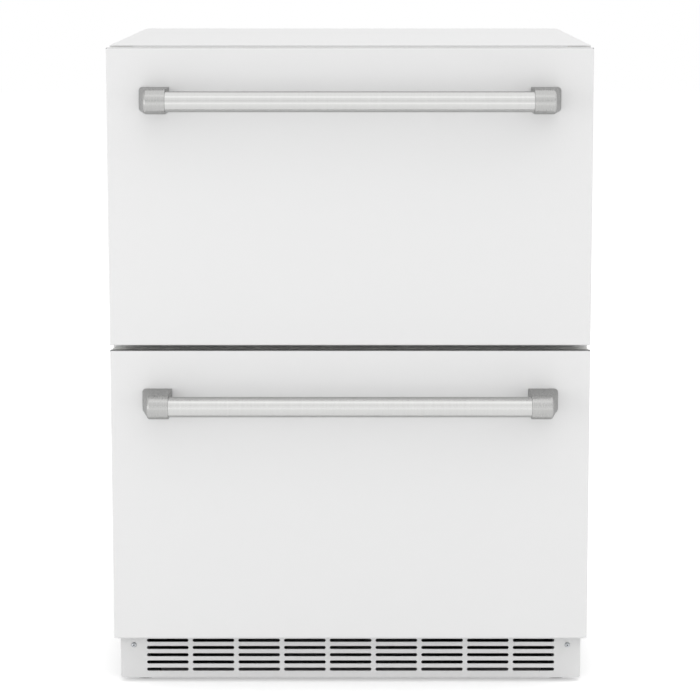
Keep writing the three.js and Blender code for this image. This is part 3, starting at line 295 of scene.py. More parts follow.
def add_screw_head(shape, centre, radius, height, out):
    """A pan head with a cross recess, whose top faces out along Y."""
    turn = Matrix.Rotation(math.radians(-90 * out), 4, "X")
    made = bmesh.ops.create_cone(shape, cap_ends=True, segments=24, radius1=radius,
                                 radius2=radius * 0.62, depth=height,
                                 matrix=Matrix.Translation(centre) @ turn)["verts"]
    rim = [e for e in {e for v in made for e in v.link_edges}
           if all((v.co.y - centre[1]) * out > 0 for v in e.verts)]
    round_edges(shape, rim, height * 0.3, 2)
    for slant in (45, 135):
        place = Matrix.Translation((centre[0], centre[1] + out * height * 0.42, centre[2]))
        size = Matrix.Diagonal((radius * 0.9, height * 0.24, radius * 0.2, 1))
        cross = bmesh.ops.create_cube(shape, size=1, matrix=place
                                      @ Matrix.Rotation(math.radians(slant), 4, "Y") @ size)["verts"]
        paint_faces(cross, 1)


# The cross recess of a screw is in shadow: drawn as a dark plated inlay level with the head.
screw_recess = make_material("screw_recess_shadow", "#4A4B4D", 0.6, 0.0006, 0.000002, 0.5, 0.7,
                             Metallic=1.0)

# Back panel: one sheet, pressed so that its middle stands out from the rim that takes the screws.
rim_width, press_depth, press_slope = 0.026, 0.0007, 0.003
panel_inset, panel_columns, panel_head, panel_head_height = 0.013, (-0.14, 0, 0.14), 0.0036, 0.0006
low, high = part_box("back_panel")
shape = bmesh.new()
add_block(shape, low, (high.x, high.y - press_depth, high.z))
field = faces_towards(shape, 1, 1)
bmesh.ops.inset_region(shape, faces=field, thickness=rim_width)
bmesh.ops.inset_region(shape, faces=field, thickness=press_slope, depth=press_depth)
finish_piece(shape, "back_panel_pressed", "cabinet", galvanised, ["back_panel"], 15)
shape = bmesh.new()
rows = [low.z + panel_inset + step * (high.z - low.z - 2 * panel_inset) / 4 for step in range(5)]
spots = [(side * (high.x - panel_inset), z) for side in (-1, 1) for z in rows]
spots += [(x, z) for x in panel_columns for z in (rows[0], rows[-1])]
for x, z in spots:
    add_screw_head(shape, (x, high.y - press_depth + panel_head_height / 2, z), panel_head,
                   panel_head_height, 1)
finish_piece(shape, "back_panel_screws", "cabinet", [zinc_plate, screw_recess])

cover_inset, cover_edge, cover_column = 0.010, 0.009, 0.1
cover_head, cover_head_height = 0.0034, 0.0018
low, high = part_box("rear_machine_cover")
shape = bmesh.new()
for x in (low.x + cover_inset, -cover_column, cover_column, high.x - cover_inset):
    for z in (low.z + cover_edge, high.z - cover_edge):
        add_screw_head(shape, (x, high.y + cover_head_height / 2, z), cover_head, cover_head_height, 1)
finish_piece(shape, "rear_cover_screws", "cabinet", [zinc_plate, screw_recess])

# ---------------------------------------------------------------- drawer fronts
# The outer skin of each drawer front: one steel sheet drawn to a shallow pan with softly rounded
# edges, powder coated like the cabinet. It is glued over the front's foam core, whose edge is painted
# dark grey as shade.
skin_sheet, skin_edge, skin_corner = 0.001, 0.0014, 0.002

for drawer in ("upper", "lower"):
    low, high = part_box(f"{drawer}_front_skin")
    shape = bmesh.new()
    add_block(shape, low, high)
    round_edges(shape, edges_along(shape, 1), skin_corner, 6)
    round_edges(shape, edges_at(shape, 1, low.y), skin_edge, 6)
    bmesh.ops.delete(shape, geom=faces_towards(shape, 1, 1), context="FACES_ONLY")
    bmesh.ops.recalc_face_normals(shape, faces=shape.faces)
    if max(shape.faces, key=lambda face: face.calc_area()).normal.y > 0:
        bmesh.ops.reverse_faces(shape, faces=shape.faces)
    bmesh.ops.solidify(shape, geom=shape.faces[:], thickness=skin_sheet)
    finish_piece(shape, f"{drawer}_front_panel", f"{drawer}_drawer", powder_coat,
                 [f"{drawer}_front_skin"])

# ---------------------------------------------------------------- front cores and inner panels
# Behind each skin a foam core shows as an edge 8 mm wide, flush with the skin. Its dark grey is painted
# shade, for the shadow in the seam between the skin and the inner panel. A white ABS pan closes the front
# from behind, with a plug that reaches into the opening.
core_seam_painted_shade = make_material("front_core_painted_seam_shade", "#58595B", 0.85, 0.0012, 0.00015, 0.75, 0.95,
                          tones=("#515254", "#5F6062"), Specular_IOR_Level=0.2)

# ABS: moulded white with a fine spark-eroded texture, semi-matt.
white_abs = make_material("moulded_white_abs", "#ECECEA", 0.42, 0.0006, 0.000015, 0.36, 0.5, IOR=1.54)

panel_back, plug_half, plug_foot, plug_corner = -0.231, 0.2444, 0.0020, 0.010
panel_wall, fit, edge_rise, panel_round, plug_round = 0.002, 0.0003, 0.0028, 0.0012, 0.003
inside = panel_wall + fit
for drawer, plug_low, plug_high in (("upper", 0.475, 0.7694), ("lower", 0.1191, 0.412)):
    low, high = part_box(f"{drawer}_door_core")
    edge_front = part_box(f"{drawer}_front_skin")[1].y + fit
    edge_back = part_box(f"{drawer}_inner_panel")[0].y - fit
    shape = bmesh.new()
    add_block(shape, (low.x + edge_rise, low.y, low.z + edge_rise),
              (high.x - edge_rise, panel_back - inside, high.z - edge_rise))
    for cut in (edge_front, edge_back):
        cut_across(shape, 1, cut)
    band = [f for f in shape.faces if abs(f.normal.y) < 0.1
            and edge_front < f.calc_center_median().y < edge_back]
    bmesh.ops.inset_region(shape, faces=band, thickness=0, depth=edge_rise, use_boundary=True,
                           use_even_offset=True)
    add_block(shape, (inside - plug_half, panel_back - inside - 0.001, plug_low + inside),
              (plug_half - inside, high.y, plug_high - inside))
    finish_piece(shape, f"{drawer}_foam_core", f"{drawer}_drawer", core_seam_painted_shade,
                 [f"{drawer}_door_core"], 30)
    low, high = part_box(f"{drawer}_inner_panel")
    shape = bmesh.new()
    add_block(shape, low, (high.x, panel_back, high.z))
    round_edges(shape, edges_along(shape, 1), skin_corner, 5)
    round_edges(shape, edges_at(shape, 1, panel_back), panel_round, 3)
    rim = set(shape.verts)
    add_block(shape, (-plug_half, panel_back - plug_foot, plug_low), (plug_half, high.y, plug_high))
    round_edges(shape, edges_along(shape, 1, lambda e: not rim.intersection(e.verts)), plug_corner, 8)
    round_edges(shape, edges_at(shape, 1, high.y), plug_round, 4)
    finish_piece(shape, f"{drawer}_moulded_inner_panel", f"{drawer}_drawer", white_abs,
                 [f"{drawer}_inner_panel"], 40)

# ---------------------------------------------------------------- door gaskets
# Extruded soft PVC with a magnet strip in its bulb and a folded bellows behind it, mitred and
# welded at the corners, and pushed into the inner panel.
soft_pvc = make_material("extruded_soft_pvc", "#BFC0C0", 0.6, 0.002, 0.00003, 0.52, 0.68, IOR=1.53)
gasket_rise, gasket_width = 0.0021, 0.0140
gasket_steps = ((0.0012, 0.0), (0.0006, 0.0016), (0.0032, 0.0), (0.0008, -0.0022), (0.0012, 0.0),
                (0.0008, 0.0026), (0.0046, 0.0), (0.0006, -0.0020))

for drawer in ("upper", "lower"):
    low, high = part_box(f"{drawer}_gasket")
    shape = bmesh.new()
    add_block(shape, low, (high.x, high.y - gasket_rise, high.z))
    ring = faces_towards(shape, 1, 1)
    for step, rise in gasket_steps:
        bmesh.ops.inset_region(shape, faces=ring, thickness=step, depth=rise)
    hole = faces_towards(shape, 1, -1)
    bmesh.ops.inset_region(shape, faces=hole, thickness=gasket_width)
    pair = [max(faces, key=lambda face: face.calc_area()) for faces in (ring, hole)]
    bmesh.ops.bridge_loops(shape, edges=[e for face in pair for e in face.edges])
    bmesh.ops.delete(shape, geom=pair, context="FACES_ONLY")
    finish_piece(shape, f"{drawer}_magnetic_gasket", f"{drawer}_drawer", soft_pvc,
                 [f"{drawer}_gasket"], 60)

# ---------------------------------------------------------------- handles
# Each handle is a stainless tube, 25 mm across and brushed round its girth, held at both ends by a
# cast bracket. A bracket has a broad foot on the front and tapers outside to a half-round nose.
bar_radius, bar_wall, nose_radius, nose_set = 0.0125, 0.0015, 0.0151, 0.0014
tip_width, tip_round, foot_round, inner_round = 0.0264, 0.0035, 0.0045, 0.0006
upright = Matrix.Rotation(math.radians(90), 4, "X")

# Brushed stainless: hair-fine lines round the tube, drawn 0.9 mm apart so that they show.
brushed_stainless = make_material("brushed_stainless_steel", "#C1C1C0", 0.2, 0.0009, 0.000003, 0.16,
                                  0.25, stretch=(1, 0.02, 0.02), tones=("#BBBBBA", "#C7C7C6"),
                                  Metallic=1.0, Specular_Tint=linear("#C8C8C8"))

# Cast stainless, ground and satin polished: even, with a soft sheen.
cast_stainless = make_material("satin_cast_stainless", "#ABABAA", 0.24, 0.0009, 0.000002, 0.2, 0.3,
                               stretch=(1, 0.05, 0.05), tones=("#A6A6A5", "#B0B0AF"), Metallic=1.0,
                               Specular_Tint=linear("#DADADA"))

for drawer in ("upper", "lower"):
    low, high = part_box(f"{drawer}_handle_bar")
    axis = (low + high) / 2
    shape = bmesh.new()
    lying = Matrix.Translation(axis) @ Matrix.Rotation(math.radians(90), 4, "Y")
    bmesh.ops.create_cone(shape, cap_ends=False, segments=72, radius1=bar_radius, radius2=bar_radius,
                          depth=high.x - low.x, matrix=lying)
    bmesh.ops.solidify(shape, geom=shape.faces[:], thickness=bar_wall)
    finish_piece(shape, f"{drawer}_handle_tube", f"{drawer}_drawer",
                 brushed_stainless, [f"{drawer}_handle_bar"])
    for side, sign in (("left", -1), ("right", 1)):
        node = f"{drawer}_handle_bracket_{side}"
        low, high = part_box(node)
        inner, outer = sorted((low.x, high.x), key=abs)
        tip = inner + sign * (tip_width + nose_set)
        root = inner + sign * nose_set
        # The foot's outline and the nose are set in place, and the casting is the skin over both.
        shape = bmesh.new()
        foot = Matrix.Translation(((inner + outer) / 2, high.y, axis.z)) @ upright
        bmesh.ops.create_grid(shape, x_segments=1, y_segments=1, size=0.5,
                              matrix=foot @ Matrix.Diagonal((high.x - low.x, high.z - low.z, 1, 1)))
        bmesh.ops.bevel(shape, geom=[v for v in shape.verts if abs(v.co.x - outer) < 1e-5],
                        offset=foot_round, segments=6, profile=0.5, affect="VERTICES", material=-1)
        lying = (Matrix.Translation(((root + tip) / 2, low.y + nose_radius, axis.z))
                 @ Matrix.Rotation(math.radians(90), 4, "Y"))
        bmesh.ops.create_cone(shape, cap_ends=True, segments=72, radius1=nose_radius,
                              radius2=nose_radius, depth=abs(tip - root), matrix=lying)
        round_edges(shape, edges_at(shape, 0, tip), tip_round, 6)
        bmesh.ops.delete(shape, geom=shape.edges[:], context="EDGES_FACES")
        skin = bmesh.ops.convex_hull(shape, input=shape.verts)
        bmesh.ops.delete(shape, geom=verts_of(skin["geom_interior"]), context="VERTS")
        bmesh.ops.dissolve_limit(shape, angle_limit=math.radians(0.5), verts=shape.verts[:],
                                 edges=shape.edges[:])
        bmesh.ops.recalc_face_normals(shape, faces=shape.faces)
        near = [e for e in shape.edges if e.calc_face_angle(0) > 0.6
                and any(f.normal.x * sign < -0.9 for f in e.link_faces)
                and not all(abs(v.co.y - high.y) < 1e-6 for v in e.verts)]
        round_edges(shape, near, inner_round, 2)
        finish_piece(shape, f"{drawer}_cast_bracket_{side}", f"{drawer}_drawer",
                     cast_stainless, [node], 28)

# ---------------------------------------------------------------- kick plate
# One folded steel sheet with nine columns of pressed air slots, powder coated like the fronts and
# held to the base by a screw near each end.
kick_sheet, kick_corner, slot_length, slot_height = 0.0012, 0.003, 0.0535, 0.0044
slot_across, slot_up, slot_first, kick_hole = 0.0587, 0.00955, 0.0111, 0.0024
kick_head, kick_head_height, kick_shank, kick_tip = 0.0035, 0.0022, 0.002, 0.0016
low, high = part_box("kick_plate")
shape = bmesh.new()
bmesh.ops.create_grid(shape, x_segments=1, y_segments=1, size=0.5,
                      matrix=Matrix.Translation(((low.x + high.x) / 2, low.y, (low.z + high.z) / 2))
                      @ Matrix.Diagonal((high.x - low.x, 1, high.z - low.z, 1)) @ upright)
bmesh.ops.bevel(shape, geom=shape.verts[:], offset=kick_corner, segments=5, profile=0.5,
                affect="VERTICES", material=-1)
bmesh.ops.delete(shape, geom=shape.faces[:], context="FACES_ONLY")
for column in range(-4, 5):
    for row in range(5):
        middle = Vector((column * slot_across, low.y, low.z + slot_first + row * slot_up))
        ring = bmesh.ops.create_circle(shape, segments=16, radius=slot_height / 2,
                                       matrix=Matrix.Translation(middle) @ upright
                                       @ Matrix.Rotation(math.radians(11.25), 4, "Z"))["verts"]
        for v in ring:
            v.co.x += math.copysign((slot_length - slot_height) / 2, v.co.x - middle.x)
for node in ("kick_screw_left", "kick_screw_right"):
    least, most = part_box(node)
    middle = Vector(((least.x + most.x) / 2, low.y, (least.z + most.z) / 2))
    bmesh.ops.create_circle(shape, segments=20, radius=kick_hole,
                            matrix=Matrix.Translation(middle) @ upright)
bmesh.ops.triangle_fill(shape, edges=shape.edges[:], use_beauty=True, use_dissolve=False,
                        normal=(0, -1, 0))
outline = [e for e in shape.edges if e.is_boundary]
ends = [e for e in outline if all(abs(abs(v.co.x) - high.x) < 1e-5 for v in e.verts)]
grown = bmesh.ops.extrude_edge_only(shape, edges=ends)["geom"]
bmesh.ops.translate(shape, verts=verts_of(grown), vec=(0, high.y - low.y, 0))
bmesh.ops.recalc_face_normals(shape, faces=shape.faces)
if max(shape.faces, key=lambda f: f.calc_area()).normal.y > 0:
    bmesh.ops.reverse_faces(shape, faces=shape.faces[:])
bmesh.ops.solidify(shape, geom=shape.faces[:], thickness=kick_sheet)
finish_piece(shape, "kick_plate_slotted", "cabinet", powder_coat, ["kick_plate"], 30)

for side in ("left", "right"):
    least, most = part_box(f"kick_screw_{side}")
    middle = (least + most) / 2
    neck = least.y + kick_head_height
    shape = bmesh.new()
    add_screw_head(shape, (middle.x, (least.y + neck) / 2, middle.z), kick_head, kick_head_height, -1)
    bmesh.ops.create_cone(shape, cap_ends=True, segments=16, radius1=kick_shank, radius2=kick_tip,
                          depth=most.y - neck,
                          matrix=Matrix.Translation((middle.x, (neck + most.y) / 2, middle.z))
                          @ Matrix.Rotation(math.radians(-90), 4, "X"))
    finish_piece(shape, f"kick_plate_screw_{side}", "cabinet",
                 [zinc_plate, screw_recess], [f"kick_screw_{side}"])

# ---------------------------------------------------------------- base pan and feet
# The base pan is folded steel, powder coated black before assembly. Four levelling feet screw up
# into it: a moulded nylon disc on a zinc-plated hexagon and threaded stud.
black_coat = make_material("black_powder_coated_steel", "#1B1C1E", 0.45, 0.0012, 0.00002, 0.38, 0.55,
                           IOR=1.5)
soften("base_pan", 0.0004, black_coat)

black_nylon = make_material("moulded_black_nylon", "#1E1F21", 0.5, 0.0007, 0.00002, 0.42, 0.6, IOR=1.53)

disc_radius, disc_top, disc_height, disc_round = 0.020, 0.0185, 0.0118, 0.0012
nut_radius, nut_height, nut_middle, stud_foot = 0.0095, 0.0078, 0.0157, 0.0197
nut_round, thread_root, thread_crest, turns = 0.0005, 0.0042, 0.005, 14
for foot in ("front_left", "front_right", "rear_left", "rear_right"):
    low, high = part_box(f"foot_{foot}")
    x, y = (low.x + high.x) / 2, (low.y + high.y) / 2
    shape = bmesh.new()
    bmesh.ops.create_cone(shape, cap_ends=True, segments=40, radius1=disc_radius, radius2=disc_top,
                          depth=disc_height, matrix=Matrix.Translation((x, y, disc_height / 2)))
    round_edges(shape, edges_at(shape, 2, disc_height) + edges_at(shape, 2, 0), disc_round, 3)
    for face in shape.faces:
        face.material_index = 1
    nut = bmesh.ops.create_cone(shape, cap_ends=True, segments=6, radius1=nut_radius, radius2=nut_radius,
                                depth=nut_height, matrix=Matrix.Translation((x, y, nut_middle)))["verts"]
    round_edges(shape, list({e for v in nut for e in v.link_edges}), nut_round, 2)
    pitch = (high.z - stud_foot) / turns
    for turn in range(turns):
        bottom = stud_foot + turn * (high.z - stud_foot) / turns
        for part, (r1, r2) in enumerate(((thread_root, thread_crest), (thread_crest, thread_root))):
            bmesh.ops.create_cone(shape, cap_ends=False, segments=16, radius1=r1, radius2=r2,
                                  depth=pitch / 2, matrix=Matrix.Translation(
                                      (x, y, bottom + pitch * (0.25 + part / 2))))
    bmesh.ops.remove_doubles(shape, verts=shape.verts, dist=1e-6)
    bmesh.ops.holes_fill(shape, edges=[e for e in shape.edges if e.is_boundary], sides=16)
    bmesh.ops.recalc_face_normals(shape, faces=shape.faces)
    finish_piece(shape, f"levelling_foot_{foot}", f"{foot}_foot",
                 [zinc_plate, black_nylon], [f"foot_{foot}"])

# ---------------------------------------------------------------- foam and liner
# Rigid polyurethane foam is blown between the shell and the liner and glues them together. The
# liner is one sheet of high-impact polystyrene, vacuum formed, white and smooth, in both rooms.
rigid_foam = make_material("blown_polyurethane_foam", "#E2D7B4", 0.9, 0.0016, 0.0002, 0.8, 0.98,
                           tones=("#D8CBA4", "#E8DFC2"))
soften("cabinet_foam", 0, rigid_foam)

formed_polystyrene = make_material("vacuum_formed_polystyrene", "#EDEEEC", 0.3, 0.012, 0.00004, 0.26,
                                   0.38, IOR=1.59)
soften("inner_liner", 0.0008, formed_polystyrene)
soften("evaporator_cover", 0.0008, formed_polystyrene)

# ---------------------------------------------------------------- bins
# One injection-moulded bin in each drawer, natural polypropylene, milky white. It hangs by its
# shoulders on the runners, and the lower one is shallower behind, over the machine compartment.
bin_wall, bin_corner, bin_rim, bin_lip, bin_shoulder, bin_foot = 0.0025, 0.015, 0.005, 0.004, 0.009, 0.005
step_front, step_floor, runner_sheet, rest_gap = 0.1044, 0.2356, 0.0012, 0.0003
milky_polypropylene = make_material("moulded_natural_polypropylene", "#EDEFEF", 0.34, 0.0009, 0.000015,
                                    0.3, 0.42, IOR=1.49, Subsurface_Weight=0.25, Subsurface_Scale=0.004)

for drawer in ("upper", "lower"):
    low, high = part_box(f"{drawer}_bin")
    back = high.y - bin_rim
    wide = high.x - bin_rim
    narrow = wide - bin_shoulder
    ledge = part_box(f"{drawer}_runner_left_drawer_member")[0].z + runner_sheet + rest_gap
    shape = bmesh.new()
    step = step_floor if drawer == "lower" else None
    add_block(shape, (-narrow, low.y, step or low.z), (narrow, back, ledge))
    round_edges(shape, edges_along(shape, 2), bin_corner, 8)
    if step:
        cut_across(shape, 1, step_front)
        sunk = [f for f in faces_towards(shape, 2, -1) if f.calc_center_median().y < step_front]
        grown = bmesh.ops.extrude_face_region(shape, geom=sunk)["geom"]
        bmesh.ops.delete(shape, geom=sunk, context="FACES_ONLY")
        bmesh.ops.translate(shape, verts=verts_of(grown), vec=(0, 0, low.z - step))
        round_edges(shape, edges_along(shape, 2, lambda e: abs(e.verts[0].co.y - step_front) < 1e-5
                                       and max(v.co.z for v in e.verts) < step + 1e-5), bin_corner, 8)
    for level in [low.z] + ([step] if step else []):
        around = edges_at(shape, 2, level, lambda e: e.is_manifold and e.is_convex
                          and e.calc_face_angle(0) > 1)
        round_edges(shape, around, bin_foot, 4)
    bmesh.ops.delete(shape, geom=[f for f in faces_towards(shape, 2, 1)
                                  if f.calc_center_median().z > ledge - 1e-5], context="FACES_ONLY")
    brim = edges_at(shape, 2, ledge, lambda e: e.is_boundary)
    for across, behind, up in ((wide - narrow, 0, 0), (0, 0, high.z - ledge), (bin_rim, bin_rim, 0),
                               (0, 0, -bin_lip)):
        grown = bmesh.ops.extrude_edge_only(shape, edges=brim)["geom"]
        brim = [e for e in grown if isinstance(e, bmesh.types.BMEdge)]
        for v in verts_of(grown):
            v.co += Vector((math.copysign(across, v.co.x), behind if v.co.y > 0 else 0, up))
    bmesh.ops.recalc_face_normals(shape, faces=shape.faces)
    if min(shape.faces, key=lambda f: f.calc_center_median().z).normal.z > 0:
        bmesh.ops.reverse_faces(shape, faces=shape.faces[:])
    piece = finish_piece(shape, f"{drawer}_moulded_bin", f"{drawer}_drawer",
                         milky_polypropylene, [f"{drawer}_bin"], 35)
    wall = piece.modifiers.new("wall", "SOLIDIFY")
    wall.thickness, wall.offset, wall.use_even_offset = bin_wall, -1, True
    piece.modifiers.move(1, 0)

# ---------------------------------------------------------------- runners
# Full-extension runners: three members rolled from zinc-plated steel strip, which run in each
# other on steel balls. The balls sit in a pressed cage at the rear of the middle member.
polished_ball = make_material("polished_bearing_steel", "#B9BABC", 0.12, 0.0004, 0.000001, 0.08, 0.16,
                              Metallic=1.0)
ball_radius, ball_pitch, balls = 0.0013, 0.011, 13
race_inset, race_half, cage_half, cage_from, cage_to = 0.0026, 0.0185, 0.0005, 0.008, 0.003
cage_corner = 0.003

for drawer in ("upper", "lower"):
    for side, sign in (("left", -1), ("right", 1)):
        runner = f"{drawer}_runner_{side}"
        for member in ("cabinet", "middle", "drawer"):
            soften(f"{runner}_{member}_member", 0.0004, zinc_plate)
        low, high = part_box(f"{runner}_cabinet_member")
        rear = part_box(f"{runner}_middle_member")[1].y
        outer = max((low.x, high.x), key=abs)
        race = outer - sign * race_inset
        middle = (low.z + high.z) / 2
        shape = bmesh.new()
        start = rear - cage_from - balls * ball_pitch
        add_block(shape, (race - cage_half, start, middle - race_half),
                  (race + cage_half, rear - cage_to, middle + race_half))
        round_edges(shape, edges_along(shape, 0), cage_corner, 3)
        for up in (-race_half, race_half):
            for count in range(balls):
                spot = Matrix.Translation((race, start + (count + 0.7) * ball_pitch, middle + up))
                ball = bmesh.ops.create_icosphere(shape, subdivisions=2, radius=ball_radius, matrix=spot)
                paint_faces(ball["verts"], 1)
        finish_piece(shape, f"{runner}_ball_cage", f"{drawer}_{side}_middle_slide",
                     [zinc_plate, polished_ball])

# ---------------------------------------------------------------- compressor
# A hermetic compressor: two deep-drawn steel shells welded at a seam, enamelled black, on a
# pressed plate with four rubber grommets. A moulded cover clips over its terminals.
black_enamel = make_material("black_enamelled_steel", "#161718", 0.3, 0.004, 0.00003, 0.24, 0.38,
                             IOR=1.5)
grommet_rubber = make_material("moulded_black_rubber", "#202122", 0.75, 0.0008, 0.00003, 0.68, 0.85,
                               IOR=1.52)
# Copper tube: drawn, slightly dulled by handling.
copper_tube = make_material("drawn_copper_tube", "#B87A5B", 0.32, 0.006, 0.000004, 0.26, 0.44,
                            tones=("#A96B4D", "#C48A6B"), Metallic=1.0)


def add_drum(shape, centre, radius, height, top_round, bottom_round, segments=48, index=0):
    """An upright drum with rounded rims, whose foot is at the centre given."""
    made = bmesh.ops.create_cone(shape, cap_ends=True, segments=segments, radius1=radius, radius2=radius,
                                 depth=height, matrix=Matrix.Translation(
                                     (centre[0], centre[1], centre[2] + height / 2)))["verts"]
    paint_faces(made, index)
    for level, amount in ((centre[2] + height, top_round), (centre[2], bottom_round)):
        rim = [e for e in {e for v in made if v.is_valid for e in v.link_edges}
               if all(abs(v.co.z - level) < 1e-6 for v in e.verts)]
        if amount:
            round_edges(shape, rim, amount, max(2, round(amount / 0.003)))


def add_tube(shape, start, way, radius, moves, index=0, segments=14):
    """A bent tube. Each move is a straight length, or an axis, an angle and a bend radius."""
    place, way = Vector(start), Vector(way).normalized()
    turn = way.to_track_quat("Z", "Y").to_matrix().to_4x4()
    made = bmesh.ops.create_circle(shape, cap_ends=True, segments=segments, radius=radius,
                                   matrix=Matrix.Translation(place) @ turn)["verts"]
    first = made[0].link_faces[0]
    first.material_index = index
    ring = list(first.edges)
    for move in moves:
        if isinstance(move, (int, float)):
            grown = bmesh.ops.extrude_edge_only(shape, edges=ring)["geom"]
            verts = verts_of(grown)
            bmesh.ops.translate(shape, verts=verts, vec=way * move)
            ring = [e for e in grown if isinstance(e, bmesh.types.BMEdge)
                    and all(v in verts for v in e.verts)]
            place = place + way * move
        else:
            axis, angle, bend = Vector(move[0]).normalized(), math.radians(move[1]), move[2]
            centre = place + axis.cross(way) * bend
            grown = bmesh.ops.spin(shape, geom=ring, cent=centre, axis=axis, angle=angle, dvec=(0, 0, 0),
                                   steps=max(3, round(abs(move[1]) / 15)), use_merge=False,
                                   use_duplicate=False)["geom_last"]
            ring = [e for e in grown if isinstance(e, bmesh.types.BMEdge)]
            turn = Matrix.Rotation(angle, 3, axis)
            place, way = centre + turn @ (place - centre), turn @ way
        for e in ring:
            for face in e.link_faces:
                face.material_index = index
    for face in bmesh.ops.holes_fill(shape, edges=ring, sides=segments)["faces"]:
        face.material_index = index


can_x, can_y, can_foot, can_radius, can_height = 0.165, 0.240, 0.036, 0.060, 0.122
seam_z, seam_radius, seam_height, seam_round = 0.1031, 0.063, 0.004, 0.0012
plate_along, plate_across, plate_low, plate_corner = 0.075, 0.056, 0.0335, 0.009
bolt_along, bolt_across = 0.066, 0.047
# At each corner, from below: the grommet's foot, neck and collar, and the head of the bolt. Each has its
# height above the floor, radius, thickness, rounding above and below, segments and material.
corner_drums = ((0.0215, 0.009, 0.0045, 0.001, 0.001, 24, 1), (0.0258, 0.0072, 0.0042, 0, 0, 24, 1),
                (0.0298, 0.009, 0.0037, 0.001, 0.001, 24, 1), (0.0360, 0.0058, 0.0016, 0.0004, 0, 20, 3))
shape = bmesh.new()
add_drum(shape, (can_x, can_y, can_foot), can_radius, can_height, 0.0265, 0.022, 64)
add_drum(shape, (can_x, can_y, seam_z), seam_radius, seam_height, seam_round, seam_round, 64)
plate = add_block(shape, (can_x - plate_along, can_y - plate_across, plate_low),
                  (can_x + plate_along, can_y + plate_across, can_foot))
round_edges(shape, [e for e in {e for v in plate for e in v.link_edges}
                    if abs(e.verts[0].co.z - e.verts[1].co.z) > 0.001], plate_corner, 5)
for along in (-bolt_along, bolt_along):
    for across in (-bolt_across, bolt_across):
        for level, *drum in corner_drums:
            add_drum(shape, (can_x + along, can_y + across, level), *drum)
# The terminal cover and its spring clip, then the suction stub and the sealed process stub.
cover = add_block(shape, (can_x + 0.048, can_y - 0.023, 0.0811), (can_x + 0.082, can_y + 0.023, 0.1251))
paint_faces(cover, 4)
round_edges(shape, list({e for v in cover for e in v.link_edges}), 0.003, 3)
clip = add_block(shape, (can_x + 0.060, can_y - 0.0234, 0.0880), (can_x + 0.064, can_y + 0.0234, 0.1254))
paint_faces(clip, 3)
add_tube(shape, (0.113, 0.250, 0.0891), (-0.8030, 0.5960, 0), 0.004,
         (0.043, ((0.5960, 0.8030, 0), 90, 0.008), 0.0108), 2)
add_tube(shape, (can_x + 0.02, can_y + 0.055, 0.0820), (0, 1, 0), 0.003,
         (0.012, ((1, 0, 0), 60, 0.01), 0.012), 2)
finish_piece(shape, "hermetic_compressor", "cabinet",
             [black_enamel, grommet_rubber, copper_tube, zinc_plate, black_nylon], ["compressor"], 35)

# ---------------------------------------------------------------- coils
# Copper tube bent back and forth through thin aluminium fins, between two galvanised end plates:
# the condenser beside the compressor and the evaporator behind its cover.
mill_aluminium = make_material("mill_finish_aluminium_fin", "#C4C7C9", 0.34, 0.003, 0.000004, 0.28,
                               0.42, Metallic=1.0)
tube_radius, fin_sheet, end_plate = 0.004, 0.0003, 0.0016


def add_coil(shape, axis, low, high, fins, start, turn_axis, bend, passes):
    """Fins from low to high along an axis, the outer two thicker, and a tube to and fro through them."""
    length = high[axis] - low[axis]
    for count in range(fins):
        outer = count in (0, fins - 1)
        thick = end_plate if outer else fin_sheet
        middle = low[axis] + end_plate / 2 + count * (length - end_plate) / (fins - 1)
        near, far = Vector(low), Vector(high)
        near[axis], far[axis] = middle - thick / 2, middle + thick / 2
        paint_faces(add_block(shape, near, far), 2 if outer else 0)
    moves = [length]
    for count in range(passes - 1):
        turn = -1 if count % 2 else 1
        moves += [(turn_axis, 180 * turn, bend * turn), length]
    add_tube(shape, start, [float(at == axis) for at in range(3)], tube_radius, moves, 1)


low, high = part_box("condenser_coil")
fins_from, fins_to, bend = 0.17485, 0.30085, 0.0127
shape = bmesh.new()
add_coil(shape, 1, (low.x, fins_from, low.z), (high.x, fins_to, high.z), 37,
         ((low.x + high.x) / 2, fins_from, low.z + bend), (1, 0, 0), bend, 6)
finish_piece(shape, "condenser_finned_coil", "cabinet",
             [mill_aluminium, copper_tube, galvanised], ["condenser_coil"])

fins_low, fins_high = (-0.170, 0.2641, 0.3336), (0.170, 0.2921, 0.4536)
first_pass = (-0.170, 0.2781, 0.3456)
suction_foot, suction_length = (0.072, 0.2804, 0.1082), 0.2262
shape = bmesh.new()
add_coil(shape, 0, fins_low, fins_high, 86, first_pass, (0, -1, 0), 0.012, 5)
add_tube(shape, suction_foot, (0, 0, 1), tube_radius, (suction_length,), 1)
finish_piece(shape, "evaporator_finned_coil", "cabinet",
             [mill_aluminium, copper_tube, galvanised], ["evaporator_coil"])

# ---------------------------------------------------------------- fans
# Two axial fans, moulded in glass-filled black nylon: a square frame with a round bore and three
# struts that carry the motor, and a rotor of five swept blades on a domed hub.
blade_sheet, blade_cup, blade_foot, hub_round = 0.0016, 0.0016, 0.97, 0.16
for node in ("condenser_fan_frame", "evaporator_fan_frame"):
    soften(node, 0.0006, black_nylon)


